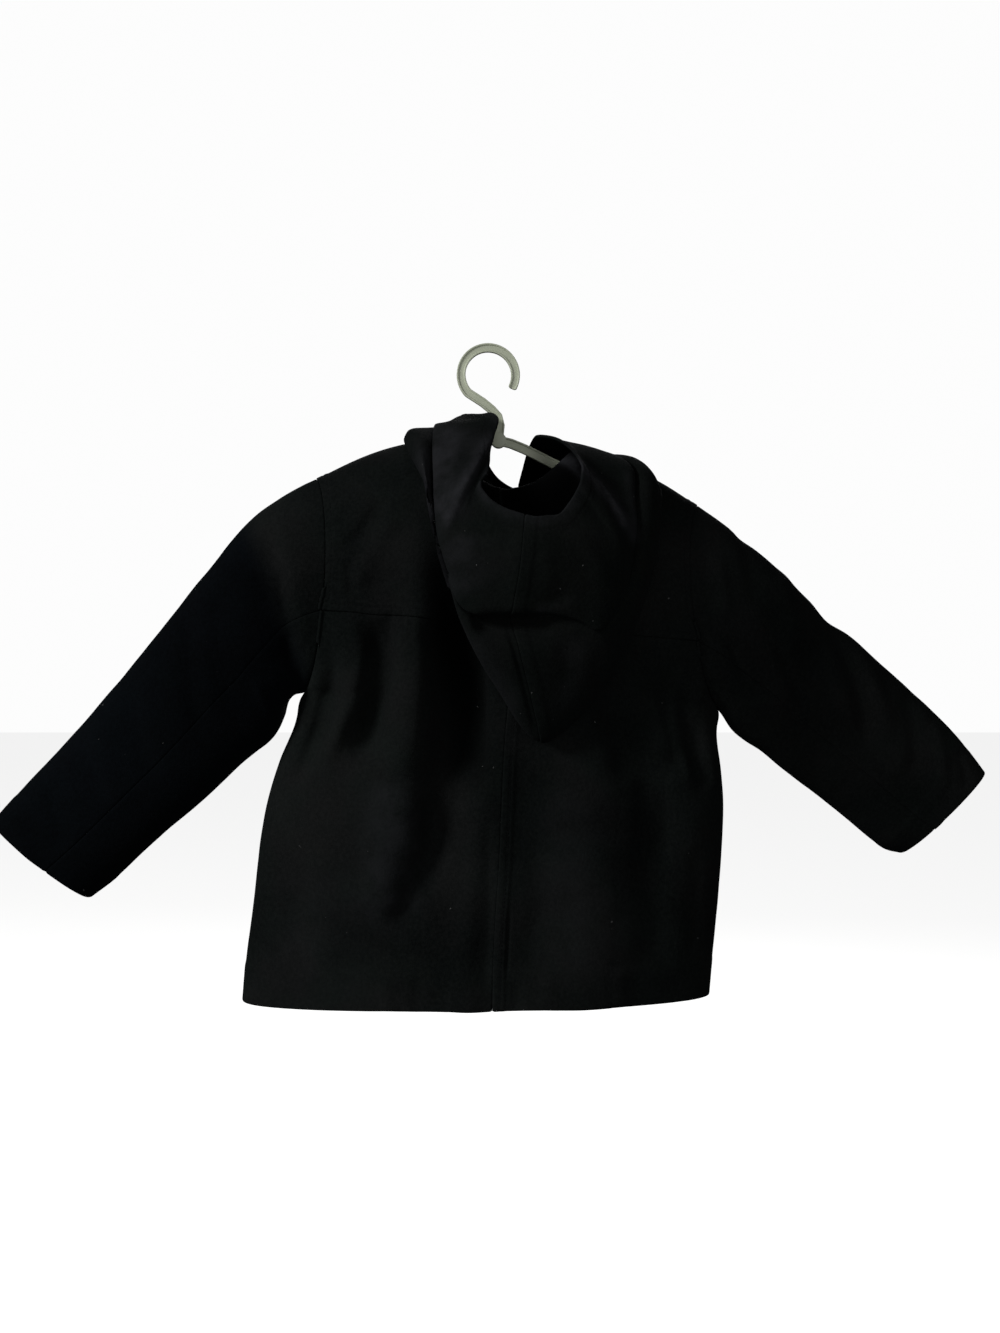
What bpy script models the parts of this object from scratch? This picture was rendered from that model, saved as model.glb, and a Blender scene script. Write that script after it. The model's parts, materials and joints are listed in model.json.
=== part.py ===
"""A child's hooded wool pea coat hanging on its plastic hanger, seen from behind at -Y.

The coat's back faces -Y and its front +Y, with +X to the wearer's right. The origin is
the seat inside the hanger's hook, so the coat hangs below it. Every cloth piece is a wall
whose outer face comes from a few guide curves: the two armholes, the neck seam, the
shoulder seams, rings down the body and the sleeves, and ribs round the hood.
Heights in the tables are measured up from the hem, and all sizes are in metres.
"""
import math

import bpy
import numpy as np
from mathutils import Vector
from mathutils.bvhtree import BVHTree

# ---------------------------------------------------------------- driving dimensions
HEM_TO_HOOK = 0.590     # height of the hook's seat above the hem
WALL = 0.0026           # melton wool with its lining
SEAM = 0.0003           # gap between two pieces that are sewn together
SLEEVE_GAP = 0.0010     # a sleeve is drawn back this far from its armhole
NECK_GAP = 0.0005       # and the hood from the neck seam
HOOD_GAP = 0.0005       # and the halves of the hood from their centre seam
TURN = 0.06             # the coat is turned a little: +Y for each unit of +X

SHOULDER_COLUMNS = 8    # faces along one shoulder seam
NECK_COLUMNS = 16       # faces along the back neck
BODY_ROWS = 9           # faces from the hem to the underarm
ARMHOLE_ROWS = 5        # faces from the underarm to the yoke seam
YOKE_ROWS = 7           # faces from the yoke seam to the shoulder seam
SLEEVE_ROWS = 13        # faces from the armhole to the cuff
COLUMNS = 2 * SHOULDER_COLUMNS + NECK_COLUMNS
MM = 0.001              # for the tables that are in millimetres


def table(names, rows):
    """A dictionary of columns, so that a row reads like a line of a size chart."""
    columns = np.array(rows, float).T
    return dict(zip(names.split(), columns))


# Rings of the body: where the coat's sides lie seen from behind, and how far the back
# and the front stand off the plane through the side seams.
BODY = table(
    "height   left   right   seam   back   front",
    [
        (0.000, -0.231, 0.196, -0.004, 0.062, 0.060),
        (0.035, -0.228, 0.199, -0.003, 0.061, 0.060),
        (0.081, -0.222, 0.204, -0.001, 0.060, 0.060),
        (0.127, -0.217, 0.208, 0.002, 0.059, 0.059),
        (0.173, -0.210, 0.210, 0.004, 0.058, 0.058),
        (0.219, -0.196, 0.206, 0.006, 0.056, 0.057),
        (0.250, -0.183, 0.202, 0.008, 0.054, 0.056),
        (0.271, -0.176, 0.203, 0.009, 0.053, 0.055),
    ],
)
# Armholes: from the shoulder tip down to the underarm; inset is how far the seam curves
# in towards the neck half way down, back and front how far it swings off the middle.
ARMHOLES = {
    "left": dict(top_x=-0.165, top_height=0.472, low_x=-0.176, low_height=0.277,
                 inset=0.018, back=0.041, front=0.040),
    "right": dict(top_x=0.186, top_height=0.450, low_x=0.203, low_height=0.265,
                  inset=-0.019, back=0.041, front=0.040),
}
YOKE_ANGLES = {"left": math.radians(104), "right": math.radians(111)}     # the yoke seam
YOKE_DEPTH = 0.055               # how far the back stands off at the yoke seam
YOKE_SEAM_X = 0.010              # where the centre back seam meets it
CHEST_DEPTH = 0.056              # and the front at the same height
UNDERARM_CROWD = 0.8             # below 1 the rows lie closer together at the underarm

NECK_WIDTH = 0.058      # half the neck seam's width
NECK_MIDDLE = 0.004     # its middle at the back, and how far the front lies to the right
NECK_SHIFT = 0.018
NECK_BACK = 0.042       # how far the neck seam reaches back and forward
NECK_FRONT = 0.055
NECK_HEIGHT = 0.4540    # its height at the back and front, and how that changes round it:
NECK_RISE_BACK = -0.0040    # it sags between the shoulders, which the hanger holds up
NECK_TILT = -0.010
NECK_RISE_SIDES = 0.0480
SHOULDER_CROWN = {"left": 0.008, "right": 0.012}    # how far a shoulder seam bows up
FULLNESS = 0.80         # below 1 the body's ring is flatter than an ellipse
NECK_EASE = 12          # how much the corner between neck and shoulder softens lower down
SIDE_REACH = 11         # an armhole's swing leads the cloth over this many columns

OVERLAP = 3             # the fronts lie over each other for this many columns either side
OVERLAP_EASE = 3        # and the under one is led in over this many more
OVERLAP_GAP = 0.0006
BUTTON_COLUMNS = (1, 5)
BUTTON_HEIGHTS = (0.170, 0.265, 0.360)
BUTTON_RADIUS = 0.0115
BUTTON_THICK = 0.0038
BUTTON_GAP = 0.0006
BUTTON_SIDES = 20
BUTTON_PROFILE = (      # shares of the radius and of the thickness: a raised rim, a dished middle
    (0, 0), (0.9, 0), (1.0, 0.25), (1.0, 0.7), (0.9, 1.0), (0.72, 1.0), (0.6, 0.7), (0, 0.7),
)

HANGER_Y = 0.0015       # the hanger's plane, which turns with the coat
HUB_X = 0.0015
HUB_HEIGHT = 0.509
HUB_RADIUS = 0.0070
HUB_THICK = 0.0072
HUB_SIDES = 20
BAR_TALL = 0.0087       # the moulded bar: its height, thickness, web and flanges
BAR_THICK = 0.0050
BAR_WEB = 0.0024
BAR_FLANGE = 0.0016
ARM_GAP = 0.0028        # between the bar and the underside of the shoulder seam
NECK_ROOM = 0.0015      # more of that gap where the arm passes under the neck seam
HOOK_X = -0.008         # the middle of the hook's bend
HOOK_RADIUS = 0.025
HOOK_NECK = ((-0.013, 0.544), (-0.005, 0.5375), (0.001, 0.531), (0.003, 0.523))

# Rings of the sleeves: the upper and lower edge seen from behind, how far the cloth
# stands off on either side, and how far forward the ring lies.
SLEEVES = {
    "left": table(
        "share   up_x   up_z    low_x   low_z   depth   forward",
        [
            (0.00, -0.165, 0.472, -0.176, 0.277, 0.041, -0.010),
            (0.13, -0.194, 0.456, -0.190, 0.271, 0.041, -0.013),
            (0.25, -0.225, 0.432, -0.197, 0.247, 0.039, -0.016),
            (0.38, -0.257, 0.392, -0.208, 0.232, 0.037, -0.019),
            (0.52, -0.293, 0.347, -0.228, 0.216, 0.034, -0.022),
            (0.66, -0.336, 0.293, -0.261, 0.184, 0.031, -0.026),
            (0.80, -0.377, 0.243, -0.300, 0.150, 0.029, -0.030),
            (0.92, -0.417, 0.199, -0.338, 0.115, 0.027, -0.034),
            (1.00, -0.449, 0.164, -0.363, 0.096, 0.026, -0.036),
        ],
    ),
    "right": table(
        "share   up_x   up_z    low_x   low_z   depth   forward",
        [
            (0.00, 0.186, 0.450, 0.203, 0.265, 0.041, 0.011),
            (0.13, 0.211, 0.434, 0.211, 0.257, 0.044, 0.018),
            (0.25, 0.246, 0.408, 0.225, 0.238, 0.043, 0.031),
            (0.38, 0.281, 0.378, 0.251, 0.221, 0.040, 0.045),
            (0.52, 0.320, 0.345, 0.284, 0.195, 0.034, 0.061),
            (0.66, 0.363, 0.312, 0.317, 0.171, 0.031, 0.076),
            (0.80, 0.408, 0.275, 0.353, 0.144, 0.029, 0.091),
            (0.92, 0.454, 0.234, 0.384, 0.121, 0.027, 0.103),
            (1.00, 0.485, 0.197, 0.401, 0.116, 0.026, 0.110),
        ],
    ),
}

# The largest folds, in millimetres: each runs down through three places, as wide as
# given to either side of its line, and stands out of the cloth or, below 0, goes in.
BACK_FOLDS = table(
    "top_x top_z middle_x middle_z low_x low_z width height",
    [
        (-150, 300, -161, 246, -188, 190, 10, -10),
        (-138, 345, -126, 285, -166, 200, 13, 8),
        (-108, 350, -112, 280, -128, 200, 13, -8),
        (-86, 352, -84, 230, -110, 70, 20, 8),
        (-40, 360, -42, 210, -104, 60, 20, -14),
        (0, 250, -14, 120, -24, 0, 20, 5),
        (96, 300, 132, 220, 142, 100, 20, -9),
        (60, 230, 84, 120, 78, 0, 30, 6),
        (166, 290, 178, 235, 194, 180, 11, -8),
        (-112, 440, -114, 410, -110, 380, 16, -5),
    ],
)
FRONT_FOLDS = table(
    "top_x top_z middle_x middle_z low_x low_z width height",
    [
        (-152, 300, -160, 240, -186, 180, 11, -8),
        (-132, 345, -124, 260, -150, 150, 16, 6),
        (-100, 300, -104, 180, -118, 20, 20, -5),
        (148, 330, 150, 240, 160, 120, 16, 5),
        (168, 290, 176, 230, 190, 160, 11, -7),
        (112, 300, 118, 160, 112, 0, 22, -5),
    ],
)
FOLD_ENDS = 0.045       # a fold fades out over this much of its length at each end
FOLD_SIDES = 3          # and over this many columns at a side seam or an armhole

# Ribs of the hood, in millimetres: each runs from the neck seam out over the back to the
# fold at the hood's outline, comes back to the edge of the bag that overhangs it, climbs
# over the ridge and ends at the rim. angle is the rib's place round the neck seam.
HOOD = table(
    "angle  fold_x fold_y fold_z  edge_x edge_y edge_z  step  "
    "ridge_x ridge_y ridge_z  rim_x rim_y rim_z",
    [
        (-180, 21, 59, 461, 21, 60, 465, 1, 21, 60, 468, 22, 58, 471),
        (-165, 4, 56, 466, 4, 57, 470, 1, 5, 55, 473, 10, 50, 475),
        (-150, -14, 47, 478, -15, 43, 483, 2, -12, 40, 485, -5, 38, 484),
        (-135, -36, 33, 497, -34, 25, 507, 4, -26, 19, 511, -14, 20, 504),
        (-120, -66, 13, 507, -53, 3, 521, 6, -33, -4, 524, -14, 2, 523),
        (-105, -85, -3, 508, -57, -12, 522, 8, -29, -24, 523, 0, -22, 529),
        (-90, -81, -26, 498, -57, -44, 497, 11, -18, -50, 505, -4, -42, 505),
        (-75, -75, -41, 484, -56, -64, 469, 12, -24, -80, 473, -7, -62, 486),
        (-60, -66, -53, 470, -55, -76, 440, 9, -31, -92, 452, -8, -78, 471),
        (-45, -57, -63, 438, -51, -84, 406, 5, -31, -97, 425, -15, -90, 459),
        (-30, -37, -69, 362, -38, -88, 366, 3, -24, -99, 392, -9, -97, 446),
        (-15, -10, -67, 297, -22, -90, 346, 9, -6, -102, 389, 4, -101, 436),
        (0, 38, -63, 235, 12, -91, 346, 10, 20, -103, 387, 24, -103, 429),
        (15, 69, -59, 254, 40, -90, 345, 9, 44, -103, 387, 34, -104, 427),
        (30, 95, -56, 285, 65, -88, 342, 3, 65, -101, 391, 41, -104, 428),
        (45, 115, -54, 320, 89, -84, 332, 1, 88, -97, 392, 54, -101, 430),
        (60, 127, -53, 349, 105, -77, 352, 3, 106, -89, 405, 65, -95, 444),
        (75, 138, -50, 382, 116, -69, 383, 5, 102, -83, 426, 74, -82, 462),
        (90, 144, -44, 414, 122, -60, 421, 7, 94, -71, 449, 73, -65, 479),
        (105, 148, -30, 446, 122, -44, 458, 8, 84, -48, 475, 68, -45, 493),
        (120, 140, -3, 478, 119, -18, 489, 9, 80, -24, 499, 45, -22, 512),
        (135, 88, 30, 487, 80, 20, 496, 5, 60, 10, 506, 31, 16, 502),
        (150, 56, 50, 473, 52, 46, 481, 3, 41, 40, 488, 27, 36, 487),
        (165, 38, 59, 463, 37, 58, 469, 1, 32, 55, 474, 25, 50, 476),
        (180, 23, 59, 461, 23, 60, 465, 1, 23, 60, 468, 22, 58, 471),
    ],
)
HOOD_ENDS = 177.0       # the hood's front edges stop this many degrees from the back
HOOD_STAND = 0.007      # how far the hood rises from the neck seam before it turns over
HOOD_FULL = 0.030       # where a rib is shorter than this, its folds shrink with it
HOOD_CLEAR = 0.0030     # the hood's lower layer lies this far off the coat
SHOULDER_CLEAR = 0.0050 # and this much further where it goes over a shoulder
HOOD_TURN = 0.005       # half the roll where the hood folds
HOOD_LAYERS = 0.0095    # the least room for the hood's lower layers under that edge
HOOD_TUCK = 0.0025      # how far the cloth goes back under the edge of the bag
HOOD_LIP = 0.005        # and less where that edge stands less than this off what is below
HOOD_SWELL = 0.7        # below that edge it swells out again by this share of the step
HOOD_SWELL_AT = 0.16    # this far down towards the fold
RIB_CUTS = (1, 1, 1, 1, 1, 1, 1, 1, 1, 1, 1, 2, 3)     # faces between a rib's guide points
RIB_BASE = 7            # how many of them lie on the coat
SHOULDER_RIB = 88.0     # ribs beyond this angle start in front of a shoulder seam


# ---------------------------------------------------------------- small helpers
def smooth(t):
    """0 to 1 with level ends."""
    t = np.clip(t, 0.0, 1.0)
    return t * t * (3.0 - 2.0 * t)


def read(columns, key, by, at):
    """A column of a table at a place between its rows, on a smooth curve through them."""
    xs, ys = columns[by], columns[key]
    slopes = np.gradient(ys, xs)
    i = int(np.clip(np.searchsorted(xs, at) - 1, 0, len(xs) - 2))
    span = xs[i + 1] - xs[i]
    t = (at - xs[i]) / span
    t2, t3 = t * t, t * t * t
    return (
        (2 * t3 - 3 * t2 + 1) * ys[i]
        + (t3 - 2 * t2 + t) * span * slopes[i]
        + (3 * t2 - 2 * t3) * ys[i + 1]
        + (t3 - t2) * span * slopes[i + 1]
    )


def curve_through(points, cuts):
    """Points on a smooth curve through the given ones; cuts says into how many pieces
    each stretch between two given points is divided."""
    points = np.array(points, float)
    steps = np.linalg.norm(np.diff(points, axis=0), axis=1)
    knots = np.concatenate([[0.0], np.cumsum(np.sqrt(steps + 1e-6))])
    columns = {"t": knots, **{k: points[:, k] for k in range(3)}}
    places = [
        knots[i] + (knots[i + 1] - knots[i]) * k / count
        for i, count in enumerate(cuts)
        for k in range(count)
    ]
    places.append(knots[-1])
    return np.array([[read(columns, k, "t", t) for k in range(3)] for t in places])


# ---------------------------------------------------------------- guide curves
def armhole(side, angle):
    """The armhole seam: angle 0 at the shoulder tip, through the back to the underarm."""
    a = ARMHOLES[side]
    share = (1.0 - math.cos(angle)) / 2.0
    swing = abs(math.sin(angle)) ** 1.2
    x = a["top_x"] + (a["low_x"] - a["top_x"]) * share + a["inset"] * swing
    reach = -a["back"] if math.sin(angle) >= 0 else a["front"]
    y = reach * abs(math.sin(angle)) + TURN * x
    return np.array([x, y, a["top_height"] + (a["low_height"] - a["top_height"]) * share])


def under_angles(side):
    """Places down the back of an armhole, from the underarm up to the yoke seam."""
    shares = (np.arange(ARMHOLE_ROWS + 1) / ARMHOLE_ROWS) ** UNDERARM_CROWD
    return math.pi + (YOKE_ANGLES[side] - math.pi) * shares


def neck(angle):
    """The neck seam: angle 0 at the back, positive round the right-hand side."""
    c, s = math.cos(angle), math.sin(angle)
    x = NECK_MIDDLE + NECK_WIDTH * s + NECK_SHIFT * (1.0 - c) / 2.0
    y = (NECK_FRONT - NECK_BACK) / 2.0 - (NECK_FRONT + NECK_BACK) / 2.0 * c + TURN * x
    z = NECK_HEIGHT + NECK_RISE_BACK * c + NECK_TILT * s + NECK_RISE_SIDES * s * s
    return np.array([x, y, z])


def shoulder(side, share):
    """The shoulder seam, from the tip at 0 to the neck at 1."""
    tip = armhole(side, 0.0)
    end = neck(math.radians(-90 if side == "left" else 90))
    point = tip + (end - tip) * share
    point[2] += SHOULDER_CROWN[side] * math.sin(math.pi * share)
    return point


def top_edge(front):
    """The upper edge of the back or of the front, from the left shoulder tip to the right."""
    left = [shoulder("left", k / SHOULDER_COLUMNS) for k in range(SHOULDER_COLUMNS)]
    right = [shoulder("right", k / SHOULDER_COLUMNS) for k in range(SHOULDER_COLUMNS)]
    first, last = (-90.0, 90.0) if not front else (-90.0, -270.0)
    angles = np.radians(np.linspace(first, last, NECK_COLUMNS + 1))
    return np.array(left + [neck(a) for a in angles] + right[::-1])


def fold_height(folds, x, z):
    """How far the folds of one side push its cloth out at a place."""
    total = 0.0
    for k, width in enumerate(folds["width"]):
        top, middle, low = (
            MM * np.array([folds[f"{place}_x"][k], folds[f"{place}_z"][k]])
            for place in ("top", "middle", "low")
        )
        share = np.clip((top[1] - z) / (top[1] - low[1]), 0.0, 1.0)
        at = (top[1] - middle[1]) / (top[1] - low[1])
        bow = (middle[0] - top[0] - (low[0] - top[0]) * at) / (at * (1 - at))
        line_x = top[0] + (low[0] - top[0]) * share + bow * share * (1 - share)
        fade = smooth((top[1] - z) / FOLD_ENDS)
        if low[1] > 0:
            fade *= smooth((z - low[1]) / FOLD_ENDS)
        total += MM * folds["height"][k] * fade * math.exp(-(((x - line_x) / (MM * width)) ** 2))
    return total


def row_between(left, right, depth, seam_x):
    """A row of the body: an oval that stands depth off the middle plane, led to its two
    side points. Depth is negative at the back."""
    centre = (left[0] + right[0]) / 2
    points = []
    for k in range(COLUMNS + 1):
        angle = math.pi * k / COLUMNS
        along = (1 - math.cos(angle)) / 2
        towards_seam = (4 * along * (1 - along)) ** 2
        x = left[0] + (right[0] - left[0]) * along + (seam_x - centre) * towards_seam
        y = depth * math.sin(angle) ** FULLNESS + TURN * x
        z = left[2] + (right[2] - left[2]) * along
        for side, share in ((left, 1 - k / SIDE_REACH), (right, 1 - (COLUMNS - k) / SIDE_REACH)):
            lead = max(0.0, share) ** 2
            y += (side[1] - TURN * side[0]) * lead
        if depth * y > depth * (depth + TURN * x):
            y = depth + TURN * x
        points.append((x, y, z))
    return np.array(points)


def side_grid(front):
    """Every row of the back or of the front, from the hem to the shoulder seams."""
    sign = 1.0 if front else -1.0
    key = "front" if front else "back"
    rows = []
    under = BODY["height"][-1]
    lowest = {side: ARMHOLES[side]["low_height"] for side in ARMHOLES}
    for k in range(BODY_ROWS):
        ends = []
        for side in ("left", "right"):
            height = lowest[side] * k / BODY_ROWS
            x = read(BODY, side, "height", min(height, under))
            ends.append((x, TURN * x, height))
        middle = min((ends[0][2] + ends[1][2]) / 2, under)
        depth = sign * read(BODY, key, "height", middle)
        rows.append(row_between(*ends, depth, read(BODY, "seam", "height", middle)))
    yoke_depth = CHEST_DEPTH if front else YOKE_DEPTH
    for k, angles in enumerate(zip(under_angles("left"), under_angles("right"))):
        share = k / ARMHOLE_ROWS
        if front:
            angles = [2 * math.pi - angle for angle in angles]
        ends = [armhole(side, angle) for side, angle in zip(("left", "right"), angles)]
        depth = sign * (BODY[key][-1] + (yoke_depth - BODY[key][-1]) * share)
        rows.append(row_between(*ends, depth, YOKE_SEAM_X))
    yoke = rows[-1]
    top = top_edge(front)
    near = np.linspace(1.0, 0.0, SHOULDER_COLUMNS + 1)[:, None] ** 2
    eased = top.copy()
    for _ in range(NECK_EASE):
        eased[1:-1] = (eased[:-2] + eased[2:]) / 2
    for k in range(1, YOKE_ROWS + 1):
        turned = {side: angle * (1 - k / YOKE_ROWS) for side, angle in YOKE_ANGLES.items()}
        first, angle = YOKE_ANGLES["left"], turned["left"]
        rise = (math.cos(angle) - math.cos(first)) / (1 - math.cos(first))
        stay = math.sin(angle) / math.sin(first)
        towards = eased + (top - eased) * rise ** 3
        row = yoke + (towards - yoke) * rise
        row[:, 1] = towards[:, 1] + (yoke[:, 1] - towards[:, 1]) * stay
        ends = {side: armhole(side, -angle if front else angle) for side, angle in turned.items()}
        row[: SHOULDER_COLUMNS + 1] += near * (ends["left"] - row[0])
        row[-SHOULDER_COLUMNS - 1:] += near[::-1] * (ends["right"] - row[-1])
        rows.append(row)
    grid = np.array(rows)
    folds = FRONT_FOLDS if front else BACK_FOLDS
    for row in grid[:-1]:
        for j in range(1, COLUMNS):
            edge = smooth(min(j, COLUMNS - j) / FOLD_SIDES)
            row[j, 1] += sign * edge * fold_height(folds, row[j, 0], row[j, 2])
    return grid


def sleeve_grid(side):
    """Rings of a sleeve from the armhole to the cuff; the first column is on the top
    edge, and the columns go round through the back."""
    s, a = SLEEVES[side], ARMHOLES[side]
    upper = [YOKE_ANGLES[side] * k / YOKE_ROWS for k in range(YOKE_ROWS)]
    back = upper + list(under_angles(side)[:0:-1])
    angles = back + [math.pi] + [2 * math.pi - angle for angle in back[:0:-1]]
    rings = []
    for k in range(SLEEVE_ROWS + 1):
        share = k / SLEEVE_ROWS
        up = np.array([read(s, "up_x", "share", share), 0, read(s, "up_z", "share", share)])
        low = np.array([read(s, "low_x", "share", share), 0, read(s, "low_z", "share", share)])
        depth = read(s, "depth", "share", share)
        forward = read(s, "forward", "share", share)
        head = 1.0 - smooth(share / 0.3)
        ring = []
        for angle in angles:
            part = (1.0 - math.cos(angle)) / 2.0
            swing = abs(math.sin(angle))
            point = up + (low - up) * part
            point[0] += a["inset"] * swing ** 1.2 * head
            reach = -depth if angle <= math.pi else depth
            point[1] = reach * swing ** (1.0 - 0.2 * smooth(share / 0.3)) + forward
            ring.append(point)
        if k == 0:
            ring = [armhole(side, angle) for angle in angles]
        rings.append(ring + ring[:1])
    return np.array(rings)


def overlapped(front, normals):
    """The two fronts: the left one is the coat's surface, and the right one is led in
    behind it where they lie over each other."""
    middle = COLUMNS // 2
    under = front[:, : middle + OVERLAP + 1].copy()
    lean = dict(normals)
    for row in under:
        for j in range(row.shape[0]):
            share = (j + 1 + OVERLAP + OVERLAP_EASE - middle) / OVERLAP_EASE
            normal = normals[key_of(row[j])]
            row[j] -= normal * (WALL + OVERLAP_GAP) * smooth(share)
            lean[key_of(row[j])] = normal
    return under, lean, front[:, middle - OVERLAP:]


# ---------------------------------------------------------------- the hood
def tree_of(grids):
    """The outer faces of some pieces, to measure distances from."""
    points, faces = [], []
    for grid in grids:
        rows, columns = grid.shape[:2]
        first = len(points)
        points += [Vector(p) for p in grid.reshape(-1, 3)]
        for i in range(rows - 1):
            for j in range(columns - 1):
                a = first + i * columns + j
                faces.append((a, a + 1, a + columns + 1, a + columns))
    return BVHTree.FromPolygons(points, faces)


def clear_of(tree, point, distance):
    """The point, moved out where it lies nearer to the coat than the distance."""
    near, normal, _, _ = tree.find_nearest(Vector(point))
    off = (Vector(point) - near).dot(normal)
    if off >= distance:
        return point
    return point + np.array(normal) * (distance - off)


def resting(tree, point, distance, over_shoulder):
    """The point laid on the coat: from above on a rib that crosses a shoulder."""
    if over_shoulder:
        hit = tree.ray_cast(Vector((point[0], point[1], 1.0)), Vector((0, 0, -1)))[0]
        if hit is not None and hit.z + distance > point[2]:
            point = np.array([point[0], point[1], hit.z + distance])
    return clear_of(tree, point, distance)


def rib(tree, angle):
    """One rib of the hood, from the neck seam to the rim."""
    place = {}
    for name in ("fold", "edge", "ridge", "rim"):
        place[name] = MM * np.array([read(HOOD, f"{name}_{c}", "angle", angle) for c in "xyz"])
    fold, edge = place["fold"], place["edge"]
    start = neck(math.radians(angle))
    centre = (neck(0.0) + neck(math.pi)) / 2
    outward = (start - centre) * (1, 1, 0)
    outward /= np.linalg.norm(outward)
    size = min(1.0, np.linalg.norm(fold - start) / HOOD_FULL)
    up = np.array([0, 0, HOOD_STAND * size])
    stand = start + up + outward * 0.001
    over = start + 0.9 * up + outward * 0.007 * size
    inward = edge - fold
    inward /= np.linalg.norm(inward) + 1e-9
    normal = tree.find_nearest(Vector(fold))[1]
    turn = np.array(normal) * HOOD_TURN * size
    before = fold - turn + inward * HOOD_TURN * size
    after = fold + turn + inward * HOOD_TURN * size
    near = np.array(tree.find_nearest(Vector(edge))[0])
    room = np.linalg.norm(near - edge)
    step = min(MM * read(HOOD, "step", "angle", angle), max(room - HOOD_LAYERS, 0.0005))
    down = (near - edge) / room
    tuck = HOOD_TUCK * size * min(1.0, step / HOOD_LIP)
    foot = edge + down * step + inward * tuck
    swell = foot + (after - foot) * HOOD_SWELL_AT - down * step * HOOD_SWELL
    crosses = abs(angle) > SHOULDER_RIB
    clear = HOOD_CLEAR + SHOULDER_CLEAR * smooth((abs(angle) - 75) / 25)
    base = [over + (before - over) * share for share in (0.25, 0.5, 0.75, 1.0)]
    base = [resting(tree, p, clear, crosses) for p in base]
    points = [start, stand, over, *base, fold, after, swell, foot, edge, place["ridge"], place["rim"]]
    line = curve_through(points, RIB_CUTS)
    for k in range(1, RIB_BASE + 1):
        line[k] = resting(tree, line[k], clear * min(1.0, k / 3), crosses)
    forward = smooth((abs(angle) - 120) / 15)
    upper = (clear + 2.5 * WALL) * (1 - forward) + (HOOD_CLEAR + 1.3 * WALL) * forward
    for k in range(RIB_BASE + 1, len(line)):
        line[k] = clear_of(tree, line[k], upper)
    return line


def hood_grid(tree):
    """Ribs all the way round the neck, from the left front edge to the right one."""
    angles = np.linspace(-180.0, 180.0, 2 * NECK_COLUMNS + 1)
    angles[0], angles[-1] = -HOOD_ENDS, HOOD_ENDS
    return np.array([rib(tree, angle) for angle in angles])


# ---------------------------------------------------------------- cloth as solids
def face_normals(grid):
    """The outward normal of each face of a grid of points."""
    across = grid[1:, 1:] - grid[:-1, :-1]
    along = grid[:-1, 1:] - grid[1:, :-1]
    return np.cross(along, across)


def key_of(point):
    return tuple(np.round(point * 1e5).astype(int))


def shared_normals(grids):
    """A normal for each point, the same on every piece that meets there."""
    total = {}
    for grid in grids:
        for i, row in enumerate(face_normals(grid)):
            for j, normal in enumerate(row):
                length = np.linalg.norm(normal)
                if length < 1e-12:
                    continue
                for a, b in ((i, j), (i, j + 1), (i + 1, j), (i + 1, j + 1)):
                    key = key_of(grid[a, b])
                    total[key] = total.get(key, 0.0) + normal / length
    return {key: normal / np.linalg.norm(normal) for key, normal in total.items()}


def material(name, colour, roughness):
    made = bpy.data.materials.new(name)
    made.use_nodes = True
    shader = made.node_tree.nodes["Principled BSDF"]
    shader.inputs["Base Color"].default_value = (*colour, 1.0)
    shader.inputs["Roughness"].default_value = roughness
    return made


def mesh_object(name, points, faces, finish):
    mesh = bpy.data.meshes.new(name)
    mesh.from_pydata([tuple(p) for p in points], [], faces)
    mesh.validate()
    mesh.shade_smooth()
    mesh.set_sharp_from_angle(angle=math.radians(40))
    obj = bpy.data.objects.new(name, mesh)
    bpy.context.scene.collection.objects.link(obj)
    mesh.materials.append(finish)
    return obj


def pulled_in(grid, lean, edges):
    """The grid with its four edges (first row, last row, first column, last column)
    drawn back within the cloth by the given amounts, so that neighbours stay apart."""
    out = grid.copy()
    for pull, edge, normal, inner in (
        (edges[0], out[0], lean[0], grid[2]),
        (edges[1], out[-1], lean[-1], grid[-3]),
        (edges[2], out[:, 0], lean[:, 0], grid[:, 2]),
        (edges[3], out[:, -1], lean[:, -1], grid[:, -3]),
    ):
        along = np.gradient(edge, axis=0)
        along /= np.linalg.norm(along, axis=1, keepdims=True)
        step = np.cross(normal, along)
        inwards = np.sign(((inner - edge) * step).sum(axis=1).sum())
        edge += inwards * pull * step
    return out


def cloth(name, grid, normals, edges, finish):
    """A closed wall behind a grid of outer points."""
    rows, columns = grid.shape[:2]
    lean = np.array([[normals[key_of(p)] for p in row] for row in grid])
    outer = pulled_in(grid, lean, edges)
    inner = pulled_in(grid - WALL * lean, lean, edges)
    points = np.concatenate([outer.reshape(-1, 3), inner.reshape(-1, 3)])
    count = rows * columns
    faces = []
    for i in range(rows - 1):
        for j in range(columns - 1):
            a, b = i * columns + j, (i + 1) * columns + j
            faces.append((a, a + 1, b + 1, b))
            faces.append((a + count, b + count, b + 1 + count, a + 1 + count))
    rim = [i * columns for i in range(rows)]
    rim += [(rows - 1) * columns + j for j in range(1, columns)]
    rim += [i * columns + columns - 1 for i in range(rows - 2, -1, -1)]
    rim += [j for j in range(columns - 2, 0, -1)]
    for a, b in zip(rim, rim[1:] + rim[:1]):
        faces.append((a, b, b + count, a + count))
    return mesh_object(name, points, faces, finish)


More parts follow.
